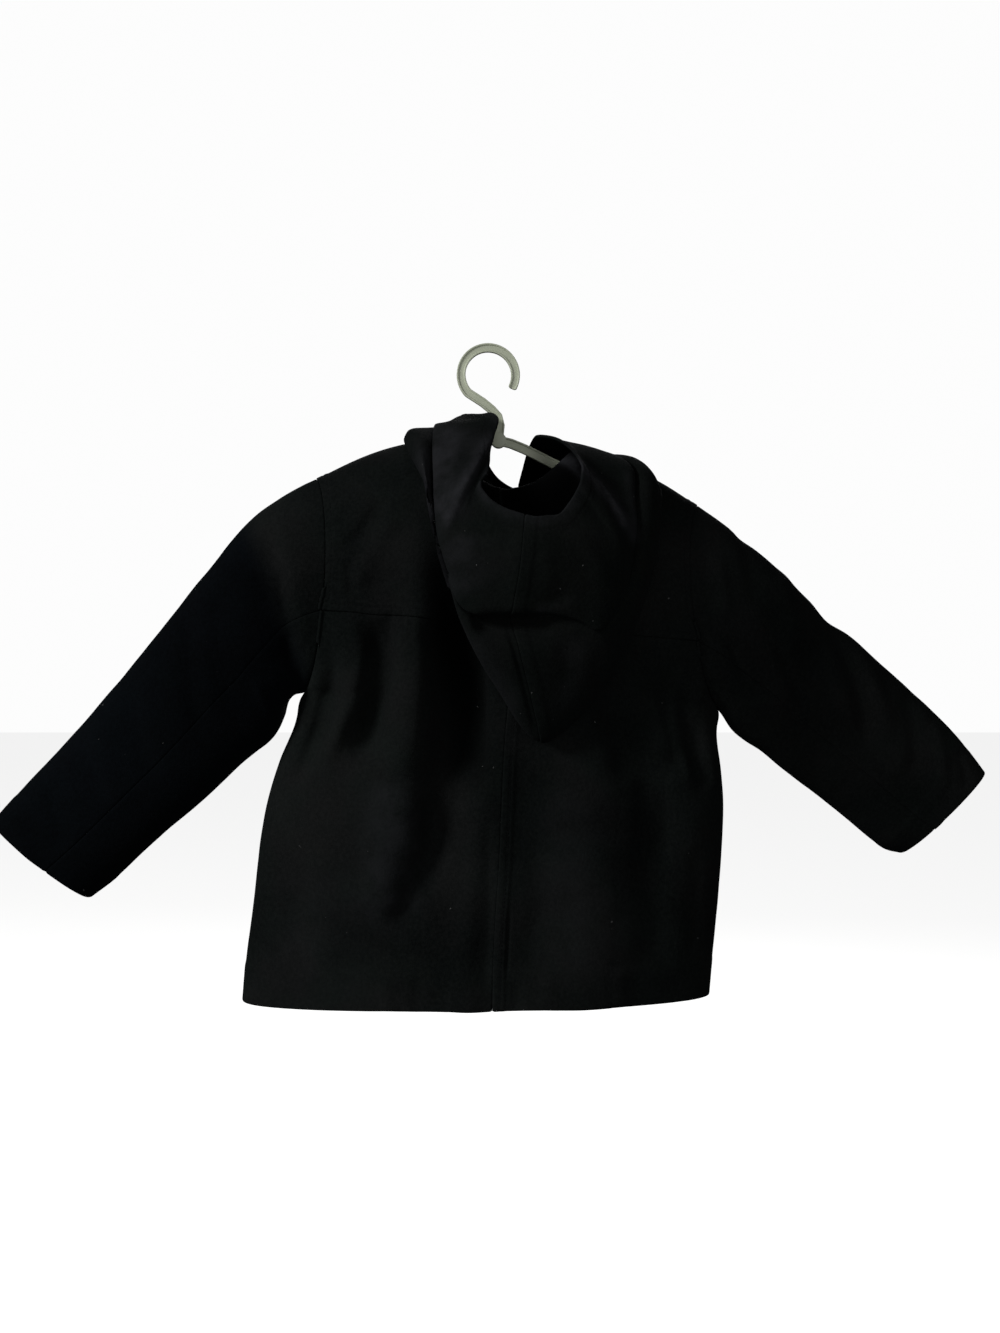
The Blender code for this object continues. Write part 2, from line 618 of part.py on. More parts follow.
def lathe(name, profile, sides, place, axis, finish):
    """A turned piece: profile is (radius, height) from the bottom middle to the top."""
    ring = [2 * math.pi * k / sides for k in range(sides)]
    points = [(0.0, 0.0, profile[0][1])]
    for radius, height in profile[1:-1]:
        points += [(radius * math.cos(a), radius * math.sin(a), height) for a in ring]
    points.append((0.0, 0.0, profile[-1][1]))
    last = len(points) - 1
    faces = []
    for k in range(sides):
        after = (k + 1) % sides
        faces.append((0, 1 + after, 1 + k))
        for level in range(len(profile) - 3):
            a, b = 1 + level * sides, 1 + (level + 1) * sides
            faces.append((a + k, a + after, b + after, b + k))
        a = 1 + (len(profile) - 3) * sides
        faces.append((a + k, a + after, last))
    turn = Vector(axis).to_track_quat("Z", "Y").to_matrix()
    placed = [turn @ Vector(p) + Vector(place) for p in points]
    return mesh_object(name, placed, faces, finish)


def sweep(name, path, section, across, finish):
    """A bar of one section along a path; across is the direction of the section's
    first coordinate, and the second lies in the bend's plane."""
    path = np.array(path)
    points, faces = [], []
    count = len(section)
    for k, centre in enumerate(path):
        forward = path[min(k + 1, len(path) - 1)] - path[max(k - 1, 0)]
        side = np.cross(across, forward)
        side /= np.linalg.norm(side)
        points += [centre + u * across + v * side for u, v in section]
    for k in range(len(path) - 1):
        for j in range(count):
            a, b = k * count + j, k * count + (j + 1) % count
            faces.append((a, b, b + count, a + count))
    faces.append(tuple(range(count - 1, -1, -1)))
    faces.append(tuple(range((len(path) - 1) * count, len(path) * count)))
    return mesh_object(name, points, faces, finish)


def bar_section(thick, tall):
    """An I-shaped section: two flanges joined by a thin web."""
    half, top = thick / 2, tall / 2
    web, flange = BAR_WEB / 2, top - BAR_FLANGE
    quarter = [(half, top), (half, flange), (web, flange)]
    lower = [(u, -v) for u, v in reversed(quarter)]
    right = quarter + lower
    return right + [(-u, v) for u, v in reversed(right)]


def hanger_plane(x, height):
    return np.array([x, HANGER_Y + TURN * x, height])


def hanger_arm_line():
    """The arms: straight from the hub, then close under the two shoulder seams."""
    hub = hanger_plane(HUB_X, HUB_HEIGHT)
    line = {}
    for side, first, last in (("left", 0.78, 0.10), ("right", 0.82, 0.16)):
        points = []
        for share in np.linspace(first, last, 6):
            seam = shoulder(side, share)
            drop = WALL + ARM_GAP + BAR_TALL / 2
            points.append(hanger_plane(seam[0], seam[2] - drop))
        beside = neck(math.radians(-90 if side == "left" else 90))
        points.insert(0, hanger_plane(beside[0], beside[2] - drop - NECK_ROOM))
        line[side] = points
    given = line["left"][::-1] + [hub] + line["right"]
    return curve_through(given, (1, 1, 1, 1, 1, 1, 3, 3, 1, 1, 1, 1, 1, 1))


def hook_line():
    """The hook, from its open end over the top and down to the hub."""
    centre_x, centre_z = HOOK_X, HEM_TO_HOOK + BAR_TALL / 2 - HOOK_RADIUS
    line = []
    for degrees in np.linspace(-25, 222, 25):
        angle = math.radians(degrees)
        x = centre_x + HOOK_RADIUS * math.cos(angle)
        line.append(hanger_plane(x, centre_z + HOOK_RADIUS * math.sin(angle)))
    for x, height in HOOK_NECK:
        line.append(hanger_plane(x, height))
    line.append(hanger_plane(HUB_X, HUB_HEIGHT - 0.001))
    return line


def build_hanger(finish):
    across = np.array([-TURN, 1.0, 0.0]) / math.hypot(TURN, 1.0)
    arms = sweep("hanger", hanger_arm_line(), bar_section(BAR_THICK, BAR_TALL), across, finish)
    hook_bar = bar_section(BAR_THICK - 0.0006, BAR_TALL - 0.0006)
    hook = sweep("hook_shape", hook_line(), hook_bar, across, finish)
    profile = [(0, 0), (HUB_RADIUS, 0), (HUB_RADIUS, HUB_THICK), (0, HUB_THICK)]
    place = hanger_plane(HUB_X, HUB_HEIGHT) - across * HUB_THICK / 2
    hub = lathe("hub_shape", profile, HUB_SIDES, place, across, finish)
    for other in (hook, hub):
        join = arms.modifiers.new(f"join_{other.name}", "BOOLEAN")
        join.operation = "UNION"
        join.object = other
        other.hide_render = True
        other.display_type = "WIRE"
    return arms


def build_buttons(over, finish):
    """Two columns of buttons on the upper front, where the two fronts overlap."""
    number = 0
    for column in BUTTON_COLUMNS:
        for height in BUTTON_HEIGHTS:
            heights = over[:, column, 2]
            i = int(np.searchsorted(heights, height)) - 1
            share = (height - heights[i]) / (heights[i + 1] - heights[i])
            place = over[i, column] * (1 - share) + over[i + 1, column] * share
            across = over[i, column - 1] - over[i, column + 1]
            normal = np.cross(over[i + 1, column] - over[i, column], across)
            normal /= np.linalg.norm(normal)
            number += 1
            profile = [(r * BUTTON_RADIUS, t * BUTTON_THICK) for r, t in BUTTON_PROFILE]
            where = place + normal * BUTTON_GAP
            lathe(f"button_{number}", profile, BUTTON_SIDES, where, normal, finish)


def clear_scene():
    for obj in list(bpy.data.objects):
        bpy.data.objects.remove(obj, do_unlink=True)


def hang_from_seat():
    """Moves everything so that the seat inside the hook is at the origin."""
    seat = hanger_plane(HOOK_X, HEM_TO_HOOK)
    for obj in bpy.data.objects:
        obj.location = -Vector(seat)


def build():
    clear_scene()
    wool = material("melton_wool", (0.006, 0.006, 0.008), 0.95)
    plastic = material("hanger_plastic", (0.20, 0.22, 0.16), 0.45)
    button = material("button_plastic", (0.010, 0.010, 0.011), 0.35)
    back, front = side_grid(False), side_grid(True)[:, ::-1]
    left, right = sleeve_grid("left")[:, ::-1], sleeve_grid("right")
    hood = hood_grid(tree_of([back, front, left, right]))[:, ::-1]
    normals = shared_normals([back, front, left, right, hood])
    gap = SEAM / 2
    yoke, seam = BODY_ROWS + ARMHOLE_ROWS, COLUMNS // 2
    cloth("back_left", back[: yoke + 1, : seam + 1], normals, (0, gap, gap, gap), wool)
    cloth("back_right", back[: yoke + 1, seam:], normals, (0, gap, gap, gap), wool)
    cloth("yoke_back", back[yoke:], normals, (gap, gap, gap, gap), wool)
    under, under_normals, over = overlapped(front, normals)
    cloth("front_right", under, under_normals, (0, gap, gap, 0), wool)
    cloth("front_left", over, normals, (0, gap, 0, gap), wool)
    sleeve_edges = (SLEEVE_GAP, 0, SEAM, SEAM)
    for side, ring in (("left", left), ("right", right)):
        low, high = YOKE_ROWS, YOKE_ROWS + 2 * ARMHOLE_ROWS
        upper = np.concatenate([ring[:, high:-1], ring[:, : low + 1]], axis=1)
        cloth(f"sleeve_{side}_under", ring[:, low : high + 1], normals, sleeve_edges, wool)
        cloth(f"sleeve_{side}_top", upper, normals, sleeve_edges, wool)
    middle = NECK_COLUMNS
    cloth("hood_left", hood[: middle + 1], normals, (0, HOOD_GAP, 0, NECK_GAP), wool)
    cloth("hood_right", hood[middle:], normals, (HOOD_GAP, 0, 0, NECK_GAP), wool)
    build_buttons(over, button)
    build_hanger(plastic)
    hang_from_seat()


build()
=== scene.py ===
# %% [markdown]
# # A child's hooded pea coat, hanging on its hanger
#
# The real coat is cut from melton, a thick wool cloth whose nap hides the weave. Two lower
# backs and a yoke, two fronts, two-piece sleeves and a two-piece hood are sewn together, and
# the shoulders rest on a child's plastic hanger. We look at it from behind, so the thrown
# back hood, the seams and the soft folds of the cloth are what matters most.
#
# The part's solids are coarse walls. This lesson dresses them: it draws the same seams, lays
# a much finer cloth through them, presses the folds and creases in, and adds the finish.

# %% The frame that everything is fitted to
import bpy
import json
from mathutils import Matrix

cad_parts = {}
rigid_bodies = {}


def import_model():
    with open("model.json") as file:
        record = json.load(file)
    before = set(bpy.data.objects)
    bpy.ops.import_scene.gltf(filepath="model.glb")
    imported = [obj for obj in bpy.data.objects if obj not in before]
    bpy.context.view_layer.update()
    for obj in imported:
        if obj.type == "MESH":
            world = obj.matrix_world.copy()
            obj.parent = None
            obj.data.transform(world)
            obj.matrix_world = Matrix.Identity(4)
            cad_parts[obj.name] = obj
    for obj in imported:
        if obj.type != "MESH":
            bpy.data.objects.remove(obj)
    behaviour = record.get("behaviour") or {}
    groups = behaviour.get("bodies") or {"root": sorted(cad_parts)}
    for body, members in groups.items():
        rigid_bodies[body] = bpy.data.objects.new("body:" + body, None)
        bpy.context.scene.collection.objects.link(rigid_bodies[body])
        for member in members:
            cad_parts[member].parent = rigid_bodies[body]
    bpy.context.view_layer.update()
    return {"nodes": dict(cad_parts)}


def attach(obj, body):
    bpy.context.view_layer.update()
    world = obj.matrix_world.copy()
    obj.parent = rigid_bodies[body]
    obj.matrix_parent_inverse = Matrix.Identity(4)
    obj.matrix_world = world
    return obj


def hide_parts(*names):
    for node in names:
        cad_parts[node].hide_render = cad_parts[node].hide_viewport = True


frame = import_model()

import json
import math

import bpy
import numpy as np
from mathutils import Vector, noise
from mathutils.bvhtree import BVHTree

print("pieces of the frame:", len(frame["nodes"]))

# %% Putting something into the scene
def add_object(name, data):
    """A new object that shows a mesh, a lamp or a camera."""
    made = bpy.data.objects.new(name, data)
    bpy.context.scene.collection.objects.link(made)
    return made


def add_mesh(name, points, faces, *finishes):
    """A new object with one mesh and its finishes, shaded smoothly."""
    mesh = bpy.data.meshes.new(name)
    mesh.from_pydata(points, [], faces)
    for finish in finishes:
        mesh.materials.append(finish)
    mesh.shade_smooth()
    return add_object(name, mesh)


def tube_faces(rings, sides, first=0):
    """Faces between the rings of a tube, and one that closes each end."""
    faces = []
    for ring in range(first, first + (rings - 1) * sides, sides):
        for k in range(sides):
            a, b = ring + k, ring + (k + 1) % sides
            faces.append((a, b, b + sides, a + sides))
    last = first + (rings - 1) * sides
    faces.append(tuple(range(first, first + sides))[::-1])
    faces.append(tuple(range(last, last + sides)))
    return faces


def together(*parts):
    """Points and faces of several parts as one mesh."""
    points, faces = [], []
    for more, more_faces in parts:
        faces += [tuple(i + len(points) for i in face) for face in more_faces]
        points += list(more)
    return points, faces


WHITE = (1.0, 1.0, 1.0, 1.0)

# %% [markdown]
# ## Camera, light and floor
#
# The photograph is taken level with the middle of the coat, from straight behind and from
# 1.3 m away. The camera comes first, so that every later look is at the same picture. Black
# wool shows its folds only in light that rakes across it, so the main soft lamp stands far
# out to the left. A weak one stands behind the camera and one behind the coat, and a wide
# low one gives what a pale board on the ground would throw up. The backdrop looks white but
# gives little light, or it would fill every fold in. The floor could be lit by lamps, which
# leaves its far part grey. So it glows evenly, as a light table does, and no light from it
# reaches the coat.

# %% Camera at the photograph's place
CAMERA_PLACE = (0.01076, -1.301, -0.289)
CAMERA_LENS = 38.16         # millimetres, for a frame 36 mm tall
FRAME_TALL = 36.0

camera_data = bpy.data.cameras.new("camera")
camera_data.sensor_fit = "VERTICAL"
camera_data.sensor_height = FRAME_TALL
camera_data.sensor_width = FRAME_TALL
camera_data.lens = CAMERA_LENS
camera = add_object("camera", camera_data)
camera.location = CAMERA_PLACE
camera.rotation_euler = (math.radians(90), 0, 0)
bpy.context.scene.camera = camera
print("camera looks along +Y from", CAMERA_PLACE)

# %% Soft lamps
LAMPS = {                   # place, size and power of each lamp; all look at the coat
    "key": ((-2.9, -1.84, 1.3), 0.9, 118.0),
    "fill": ((0.9, -1.8, 0.5), 1.0, 7.0),
    "back": ((0.2, 1.8, 0.9), 1.4, 18.0),
    "board": ((-0.1, -1.4, -1.1), 2.2, 9.5),
}
COAT_MIDDLE = Vector((0.01, 0.0, -0.30))


def add_lamp(name, place, size, power):
    """A square area lamp that looks at the middle of the coat."""
    data = bpy.data.lights.new(name, "AREA")
    data.size = size
    data.energy = power
    lamp = add_object(name, data)
    lamp.location = place
    lamp.rotation_euler = (COAT_MIDDLE - Vector(place)).to_track_quat("-Z", "Y").to_euler()


for lamp_name, (lamp_place, lamp_size, lamp_power) in LAMPS.items():
    add_lamp(lamp_name, lamp_place, lamp_size, lamp_power)
print("lamps:", len(LAMPS))

# %% A bright backdrop
BACKDROP = 0.98             # how bright the empty studio looks
FILL_LIGHT = 0.04           # and how much light it gives


def spread_node(tree, value, low, high, to_low=0.0, to_high=1.0):
    """Stretches the part of a value between low and high over to_low to to_high."""
    node = tree.nodes.new("ShaderNodeMapRange")
    ends = {"From Min": low, "From Max": high, "To Min": to_low, "To Max": to_high}
    for key, end in ends.items():
        node.inputs[key].default_value = end
    tree.links.new(value, node.inputs["Value"])
    return node.outputs["Result"]


def studio_world():
    """A pale backdrop that gives less light than it shows, so that folds keep their shade."""
    made = bpy.data.worlds.new("studio")
    made.use_nodes = True
    tree = made.node_tree
    background = tree.nodes["Background"]
    background.inputs["Color"].default_value = WHITE
    seen = tree.nodes.new("ShaderNodeLightPath").outputs["Is Camera Ray"]
    strength = spread_node(tree, seen, 0.0, 1.0, FILL_LIGHT, BACKDROP)
    tree.links.new(strength, background.inputs["Strength"])
    return made


bpy.context.scene.world = studio_world()
bpy.context.scene.view_settings.view_transform = "Standard"
print("backdrop", BACKDROP, "fill", FILL_LIGHT)

# %% A pale floor, well below the hem
FLOOR_HEIGHT = -1.05
FLOOR_SIZE = 30.0
FLOOR_ROUGH = 0.9
FLOOR_COLOUR = (0.60, 0.60, 0.59, 1.0)
FLOOR_GLOW = 0.86


def new_material(name, roughness):
    """A material with one shader: the material, its nodes and the shader."""
    made = bpy.data.materials.new(name)
    made.use_nodes = True
    shader = made.node_tree.nodes["Principled BSDF"]
    shader.inputs["Roughness"].default_value = roughness
    return made, made.node_tree, shader


def plain_floor():
    """A wide glowing floor that gives the coat no light."""
    half = FLOOR_SIZE / 2
    corners = [(-half, -half, 0), (half, -half, 0), (half, half, 0), (-half, half, 0)]
    finish, _, shader = new_material("pale_floor", FLOOR_ROUGH)
    shader.inputs["Base Color"].default_value = FLOOR_COLOUR
    shader.inputs["Emission Color"].default_value = WHITE
    shader.inputs["Emission Strength"].default_value = FLOOR_GLOW
    floor = add_mesh("floor", corners, [(0, 1, 2, 3)], finish)
    floor.location = (0, 0, FLOOR_HEIGHT)
    floor.visible_diffuse = False
    floor.visible_glossy = False


plain_floor()
print("floor at", FLOOR_HEIGHT)

# %% [markdown]
# ## Wool, plastic and thread
#
# Melton is woven, then shrunk and brushed until short fibres cover it. From a step away it
# is a dull black with faint cloudy patches where the nap lies differently, a soft bloom of
# light along its rounded edges, and here and there a pale speck of lint. We could scatter
# real hairs, but they would cost millions of faces for a bloom that a shader gives as well.
# So the nap is a node group: it turns a few noises into a colour and a height, and each
# material sets its own shades. The sheen that gives the bloom is a plain value on the shader.

# %% Small helpers for nodes
def socket(group, name, direction, kind, value=None):
    """One named way in or out of a node group."""
    made = group.interface.new_socket(name=name, in_out=direction, socket_type=f"NodeSocket{kind}")
    if value is not None:
        made.default_value = value


def noise_node(tree, place, scale, detail, roughness=0.5):
    """A noise from 0 to 1; scale is its waves in a metre."""
    node = tree.nodes.new("ShaderNodeTexNoise")
    node.inputs["Scale"].default_value = scale
    node.inputs["Detail"].default_value = detail
    node.inputs["Roughness"].default_value = roughness
    tree.links.new(place, node.inputs["Vector"])
    return node.outputs["Fac"]


def mix_node(tree, share, first, second, blend="MIX"):
    """Mixes two colours by a share; without one, the second acts in full."""
    node = tree.nodes.new("ShaderNodeMix")
    node.data_type = "RGBA"
    node.blend_type = blend
    for key, value in (("Factor", share), ("A", first), ("B", second)):
        socket_in = [s for s in node.inputs if s.name == key and s.enabled][0]
        if value is None:
            socket_in.default_value = 1.0
        else:
            tree.links.new(value, socket_in)
    return [s for s in node.outputs if s.enabled][0]


def colour_node(tree, colour):
    """A plain colour that can be linked."""
    node = tree.nodes.new("ShaderNodeRGB")
    node.outputs[0].default_value = (*colour, 1)
    return node.outputs[0]


def math_node(tree, operation, first, second):
    """A sum, product or comparison; the second may be a plain number."""
    node = tree.nodes.new("ShaderNodeMath")
    node.operation = operation
    tree.links.new(first, node.inputs[0])
    if isinstance(second, float):
        node.inputs[1].default_value = second
    else:
        tree.links.new(second, node.inputs[1])
    return node.outputs[0]


def blended(tree, *parts):
    """The sum of some values, each taken with its own weight."""
    total = None
    for value, weight in parts:
        part = math_node(tree, "MULTIPLY", value, weight)
        total = part if total is None else math_node(tree, "ADD", total, part)
    return total


print("node helpers ready")

# %% A node group for short brushed fibres
NAP_TINTS = ((0.94, 1.01, 0.98), (1.09, 1.01, 1.04))     # a greener and a warmer black
NAP_NOISES = {              # waves in a metre, detail, roughness
    "clouds": (9.0, 4.0), "tints": (17.0, 2.0),
    "tufts": (330.0, 4.0, 0.6), "fibres": (1500.0, 3.0, 0.7),
}
NAP_SHARES = {"clouds": 0.55, "tufts": 0.35, "fibres": 0.2}     # in its colour
NAP_HEIGHTS = {"tufts": 0.6, "fibres": 1.0}                     # in its height
NAP_SPREAD, TINT_SPREAD = (0.36, 0.66), (0.38, 0.64)            # the part of a noise used


def nap_group():
    """Cloudy colour and a fibrous height from places in metres."""
    group = bpy.data.node_groups.new("brushed_nap", "ShaderNodeTree")
    socket(group, "Place", "INPUT", "Vector")
    socket(group, "Dark", "INPUT", "Color", (0.003, 0.003, 0.004, 1))
    socket(group, "Light", "INPUT", "Color", (0.008, 0.008, 0.010, 1))
    socket(group, "Colour", "OUTPUT", "Color")
    socket(group, "Height", "OUTPUT", "Float")
    start = group.nodes.new("NodeGroupInput")
    end = group.nodes.new("NodeGroupOutput")
    place = start.outputs["Place"]
    noises = {name: noise_node(group, place, *values) for name, values in NAP_NOISES.items()}
    for name in ("clouds", "tufts"):
        noises[name] = spread_node(group, noises[name], *NAP_SPREAD)
    share = blended(group, *((noises[name], weight) for name, weight in NAP_SHARES.items()))
    colour = mix_node(group, share, start.outputs["Dark"], start.outputs["Light"])
    tints = [colour_node(group, tint) for tint in NAP_TINTS]
    wander = spread_node(group, noises["tints"], *TINT_SPREAD)
    colour = mix_node(group, None, colour, mix_node(group, wander, *tints), "MULTIPLY")
    height = blended(group, *((noises[name], weight) for name, weight in NAP_HEIGHTS.items()))
    group.links.new(colour, end.inputs["Colour"])
    group.links.new(height, end.inputs["Height"])
    return group


NAP = nap_group()
print("nap group sockets:", [item.name for item in NAP.interface.items_tree])

# %% A node group for specks of lint
LINT_CELLS = 210.0          # cells in a metre; a few of them hold one speck each
LINT_RARE = 0.05            # the share of the cells that do, where the amount is 1
LINT_SIZE = 0.26            # the largest speck, as a share of its cell
LINT_NOISE, LINT_SPREAD = (900.0, 2.0), (0.35, 0.65)    # makes the specks ragged


def lint_group():
    """A mask that is 1 on sparse small specks, of uneven sizes."""
    group = bpy.data.node_groups.new("lint_specks", "ShaderNodeTree")
    socket(group, "Place", "INPUT", "Vector")
    socket(group, "Amount", "INPUT", "Float", 0.5)
    socket(group, "Mask", "OUTPUT", "Float")
    start = group.nodes.new("NodeGroupInput")
    end = group.nodes.new("NodeGroupOutput")
    cells = group.nodes.new("ShaderNodeTexVoronoi")
    cells.inputs["Scale"].default_value = LINT_CELLS
    cells.inputs["Randomness"].default_value = 1.0
    place = start.outputs["Place"]
    group.links.new(place, cells.inputs["Vector"])
    split = group.nodes.new("ShaderNodeSeparateColor")
    group.links.new(cells.outputs["Color"], split.inputs["Color"])
    rare = math_node(group, "MULTIPLY", start.outputs["Amount"], LINT_RARE)
    chosen = math_node(group, "LESS_THAN", split.outputs["Red"], rare)
    ragged = spread_node(group, noise_node(group, place, *LINT_NOISE), *LINT_SPREAD)
    size = math_node(group, "MULTIPLY", split.outputs["Green"], LINT_SIZE)
    size = math_node(group, "MULTIPLY", size, ragged)
    inside = math_node(group, "LESS_THAN", cells.outputs["Distance"], size)
    group.links.new(math_node(group, "MULTIPLY", chosen, inside), end.inputs["Mask"])
    return group


LINT = lint_group()
print("lint group ready")

# %% Black melton wool, and the sewing thread
WOOL_ROUGH = 0.95
NAP_BUMP, NAP_TALL = 0.55, 0.0006
MARK_NOISE, MARK_SPREAD = (40.0, 4.0, 0.65), (0.25, 0.6)    # for ragged edges of the marks
WOOL_SHINE = {              # a faint gloss, and the soft bloom of fibres that stand up
    "Specular IOR Level": 0.02, "Sheen Weight": 0.006, "Sheen Roughness": 0.6,
    "Sheen Tint": (0.85, 0.9, 1.0, 1),
}
# the paler colour, for pale fluff and for painted light
FLUFF_AND_LIGHT_COLOUR = (0.0165, 0.0168, 0.0190)
LINT_COLOUR = (0.06, 0.06, 0.06)


def use_group(tree, group, place, **values):
    """A node group at work in a material, with some of its values set."""
    node = tree.nodes.new("ShaderNodeGroup")
    node.node_tree = group
    tree.links.new(place, node.inputs["Place"])
    for key, value in values.items():
        node.inputs[key].default_value = value
    return node


def add_bump(tree, shader, height, strength, distance):
    """Small bumps; distance is how tall they are at full strength, in metres."""
    bump = tree.nodes.new("ShaderNodeBump")
    bump.inputs["Strength"].default_value = strength
    bump.inputs["Distance"].default_value = distance
    tree.links.new(height, bump.inputs["Height"])
    tree.links.new(bump.outputs["Normal"], shader.inputs["Normal"])


def mark_node(tree, name):
    """A value that the cloth carries at its points, or 0 where it carries none."""
    node = tree.nodes.new("ShaderNodeAttribute")
    node.attribute_name = name
    return node.outputs["Fac"]


def wool_material(name, shades, lint, painted_shade_colours=None):
    """Melton. shades are its dark and light colour, painted_shade_colours those where the mark far
    is 1: a painted shade on the far end of the left sleeve and on the back beside the hood.
    Where the mark dust_and_painted_light is 1, a paler colour lies on it: loose pale fibres, and
    painted light."""
    made, tree, shader = new_material(name, WOOL_ROUGH)
    place = tree.nodes.new("ShaderNodeTexCoord").outputs["Object"]
    nap = use_group(tree, NAP, place)
    ragged = spread_node(tree, noise_node(tree, place, *MARK_NOISE), *MARK_SPREAD)
    # where the mark far is 1, painted shade colours are mixed in
    for key, near, other in zip(("Dark", "Light"), shades, painted_shade_colours or shades):
        share = math_node(tree, "MULTIPLY", mark_node(tree, "far"), ragged)
        share = math_node(tree, "MAXIMUM", share, mark_node(tree, "far"))
        mixed = mix_node(tree, share, colour_node(tree, near), colour_node(tree, other))
        tree.links.new(mixed, nap.inputs[key])
    # where the mark dust_and_painted_light is 1, a paler colour is mixed in: pale fluff, and
    # painted light
    fluff_and_light = math_node(tree, "MULTIPLY", mark_node(tree, "dust_and_painted_light"), ragged)
    fluffed_and_lit = mix_node(tree, fluff_and_light, nap.outputs["Colour"], colour_node(tree, FLUFF_AND_LIGHT_COLOUR))
    specks = use_group(tree, LINT, place, Amount=lint)
    colour = mix_node(tree, specks.outputs["Mask"], fluffed_and_lit, colour_node(tree, LINT_COLOUR))
    tree.links.new(colour, shader.inputs["Base Color"])
    add_bump(tree, shader, nap.outputs["Height"], NAP_BUMP, NAP_TALL)
    for key, value in WOOL_SHINE.items():
        shader.inputs[key].default_value = value
    return made


COAT_SHADES = ((0.0016, 0.0022, 0.0021), (0.0074, 0.0085, 0.0081))
# the left sleeve's far end: a darker, bluer black painted as shade
SLEEVE_PAINTED_SHADE_COLOURS = ((0.0003, 0.0005, 0.0007), (0.0018, 0.0027, 0.0036))
# the hood's wool, set darker than the coat's as a painted shade
HOOD_PAINTED_SHADE_TONES = ((0.0011, 0.0016, 0.0014), (0.0050, 0.0060, 0.0055))
# the hood's inner face, near black as a painted shade
INSIDE_PAINTED_SHADE_TONES = ((0.0001, 0.0001, 0.0001), (0.0004, 0.0005, 0.0005))
THREAD_SHADES = ((0.0020, 0.0022, 0.0024), (0.0060, 0.0060, 0.0070))
# a darker black painted as shade on the back
BACK_PAINTED_SHADE_COLOURS = ((0.0002, 0.0003, 0.0003), (0.0016, 0.0022, 0.0020))
WOOL = wool_material("melton_wool", COAT_SHADES, 0.35)
# back_wool takes the painted shade where the mark far is 1
BACK_WOOL = wool_material("back_wool", COAT_SHADES, 0.3, BACK_PAINTED_SHADE_COLOURS)
# sleeve_wool takes the painted shade where the mark far is 1
SLEEVE_WOOL = wool_material("sleeve_wool", COAT_SHADES, 0.3, SLEEVE_PAINTED_SHADE_COLOURS)
# the hood's wool is painted darker than the coat's, and its inner face near black, both as painted
# shade
HOOD_WOOL = wool_material("hood_wool", HOOD_PAINTED_SHADE_TONES, 0.8)
HOOD_INSIDE_PAINTED_SHADE = wool_material("hood_inside_painted_shade", INSIDE_PAINTED_SHADE_TONES, 0.1)
THREAD = wool_material("thread", THREAD_SHADES, 0.0)
print("cloth finishes:", WOOL.name, HOOD_WOOL.name, THREAD.name)

# %% Moulded plastic for the hanger and the buttons
FLOW_NOISE = (22.0, 3.0)                # slow streaks of colour from the mould
FLOW_SHARE, GRAIN_SHARE = 0.6, 0.4      # in its colour
PLASTIC_SPREAD = (0.3, 0.7)
GRAIN_BUMP = 0.25
GLOSS_LESS, GLOSS_MORE = 0.06, 0.10     # how far the gloss wanders to either side


def plastic_material(name, dark, light, roughness, shine, specks, bumps):
    """Moulded plastic: slightly uneven in colour and gloss, with a fine grain."""
    made, tree, shader = new_material(name, roughness)
    shader.inputs["Specular IOR Level"].default_value = shine
    place = tree.nodes.new("ShaderNodeTexCoord").outputs["Object"]
    flow = spread_node(tree, noise_node(tree, place, *FLOW_NOISE), *PLASTIC_SPREAD)
    grain = spread_node(tree, noise_node(tree, place, specks, 4.0, 0.6), *PLASTIC_SPREAD)
    share = blended(tree, (flow, FLOW_SHARE), (grain, GRAIN_SHARE))
    colour = mix_node(tree, share, colour_node(tree, dark), colour_node(tree, light))
    tree.links.new(colour, shader.inputs["Base Color"])
    gloss = spread_node(tree, grain, 0.0, 1.0, roughness - GLOSS_LESS, roughness + GLOSS_MORE)
    tree.links.new(gloss, shader.inputs["Roughness"])
    add_bump(tree, shader, grain, GRAIN_BUMP, bumps)
    return made


HANGER_PLASTIC = plastic_material("hanger_plastic", (0.36, 0.39, 0.29), (0.46, 0.49, 0.38),
                                  0.42, 0.5, 700.0, 0.00006)
BUTTON_PLASTIC = plastic_material("button_plastic", (0.006, 0.006, 0.007), (0.016, 0.016, 0.017),
                                  0.42, 0.22, 500.0, 0.00004)
print("plastics:", HANGER_PLASTIC.name, BUTTON_PLASTIC.name)

# %% [markdown]
# ## The sizes of the coat
#
# A garment's shape is a handful of lines: two armholes, a neck seam, shoulder seams, and rings
# round the body and the sleeves. They are the same tables that the solids were built from,
# measured in metres up from the hem, so the cloth drawn here lies exactly on its solids.

# %% Steps between the guide lines
HEM_TO_HOOK = 0.590     # height of the hook's seat above the hem
WALL = 0.0026           # melton wool with its lining
OVERLAP_GAP = 0.0006
TURN = 0.06             # the coat is turned a little: +Y for each unit of +X

SHOULDER_COLUMNS = 8    # faces along one shoulder seam
NECK_COLUMNS = 16       # faces along the back neck
BODY_ROWS = 9           # faces from the hem to the underarm
ARMHOLE_ROWS = 5        # faces from the underarm to the yoke seam
YOKE_ROWS = 7           # faces from the yoke seam to the shoulder seam
SLEEVE_ROWS = 13        # faces from the armhole to the cuff
COLUMNS = 2 * SHOULDER_COLUMNS + NECK_COLUMNS
MM = 0.001              # for the tables that are in millimetres


def table(names, rows):
    """A dictionary of columns, so that a row reads like a line of a size chart."""
    columns = np.array(rows, float).T
    return dict(zip(names.split(), columns))


print("columns round half the coat:", COLUMNS)

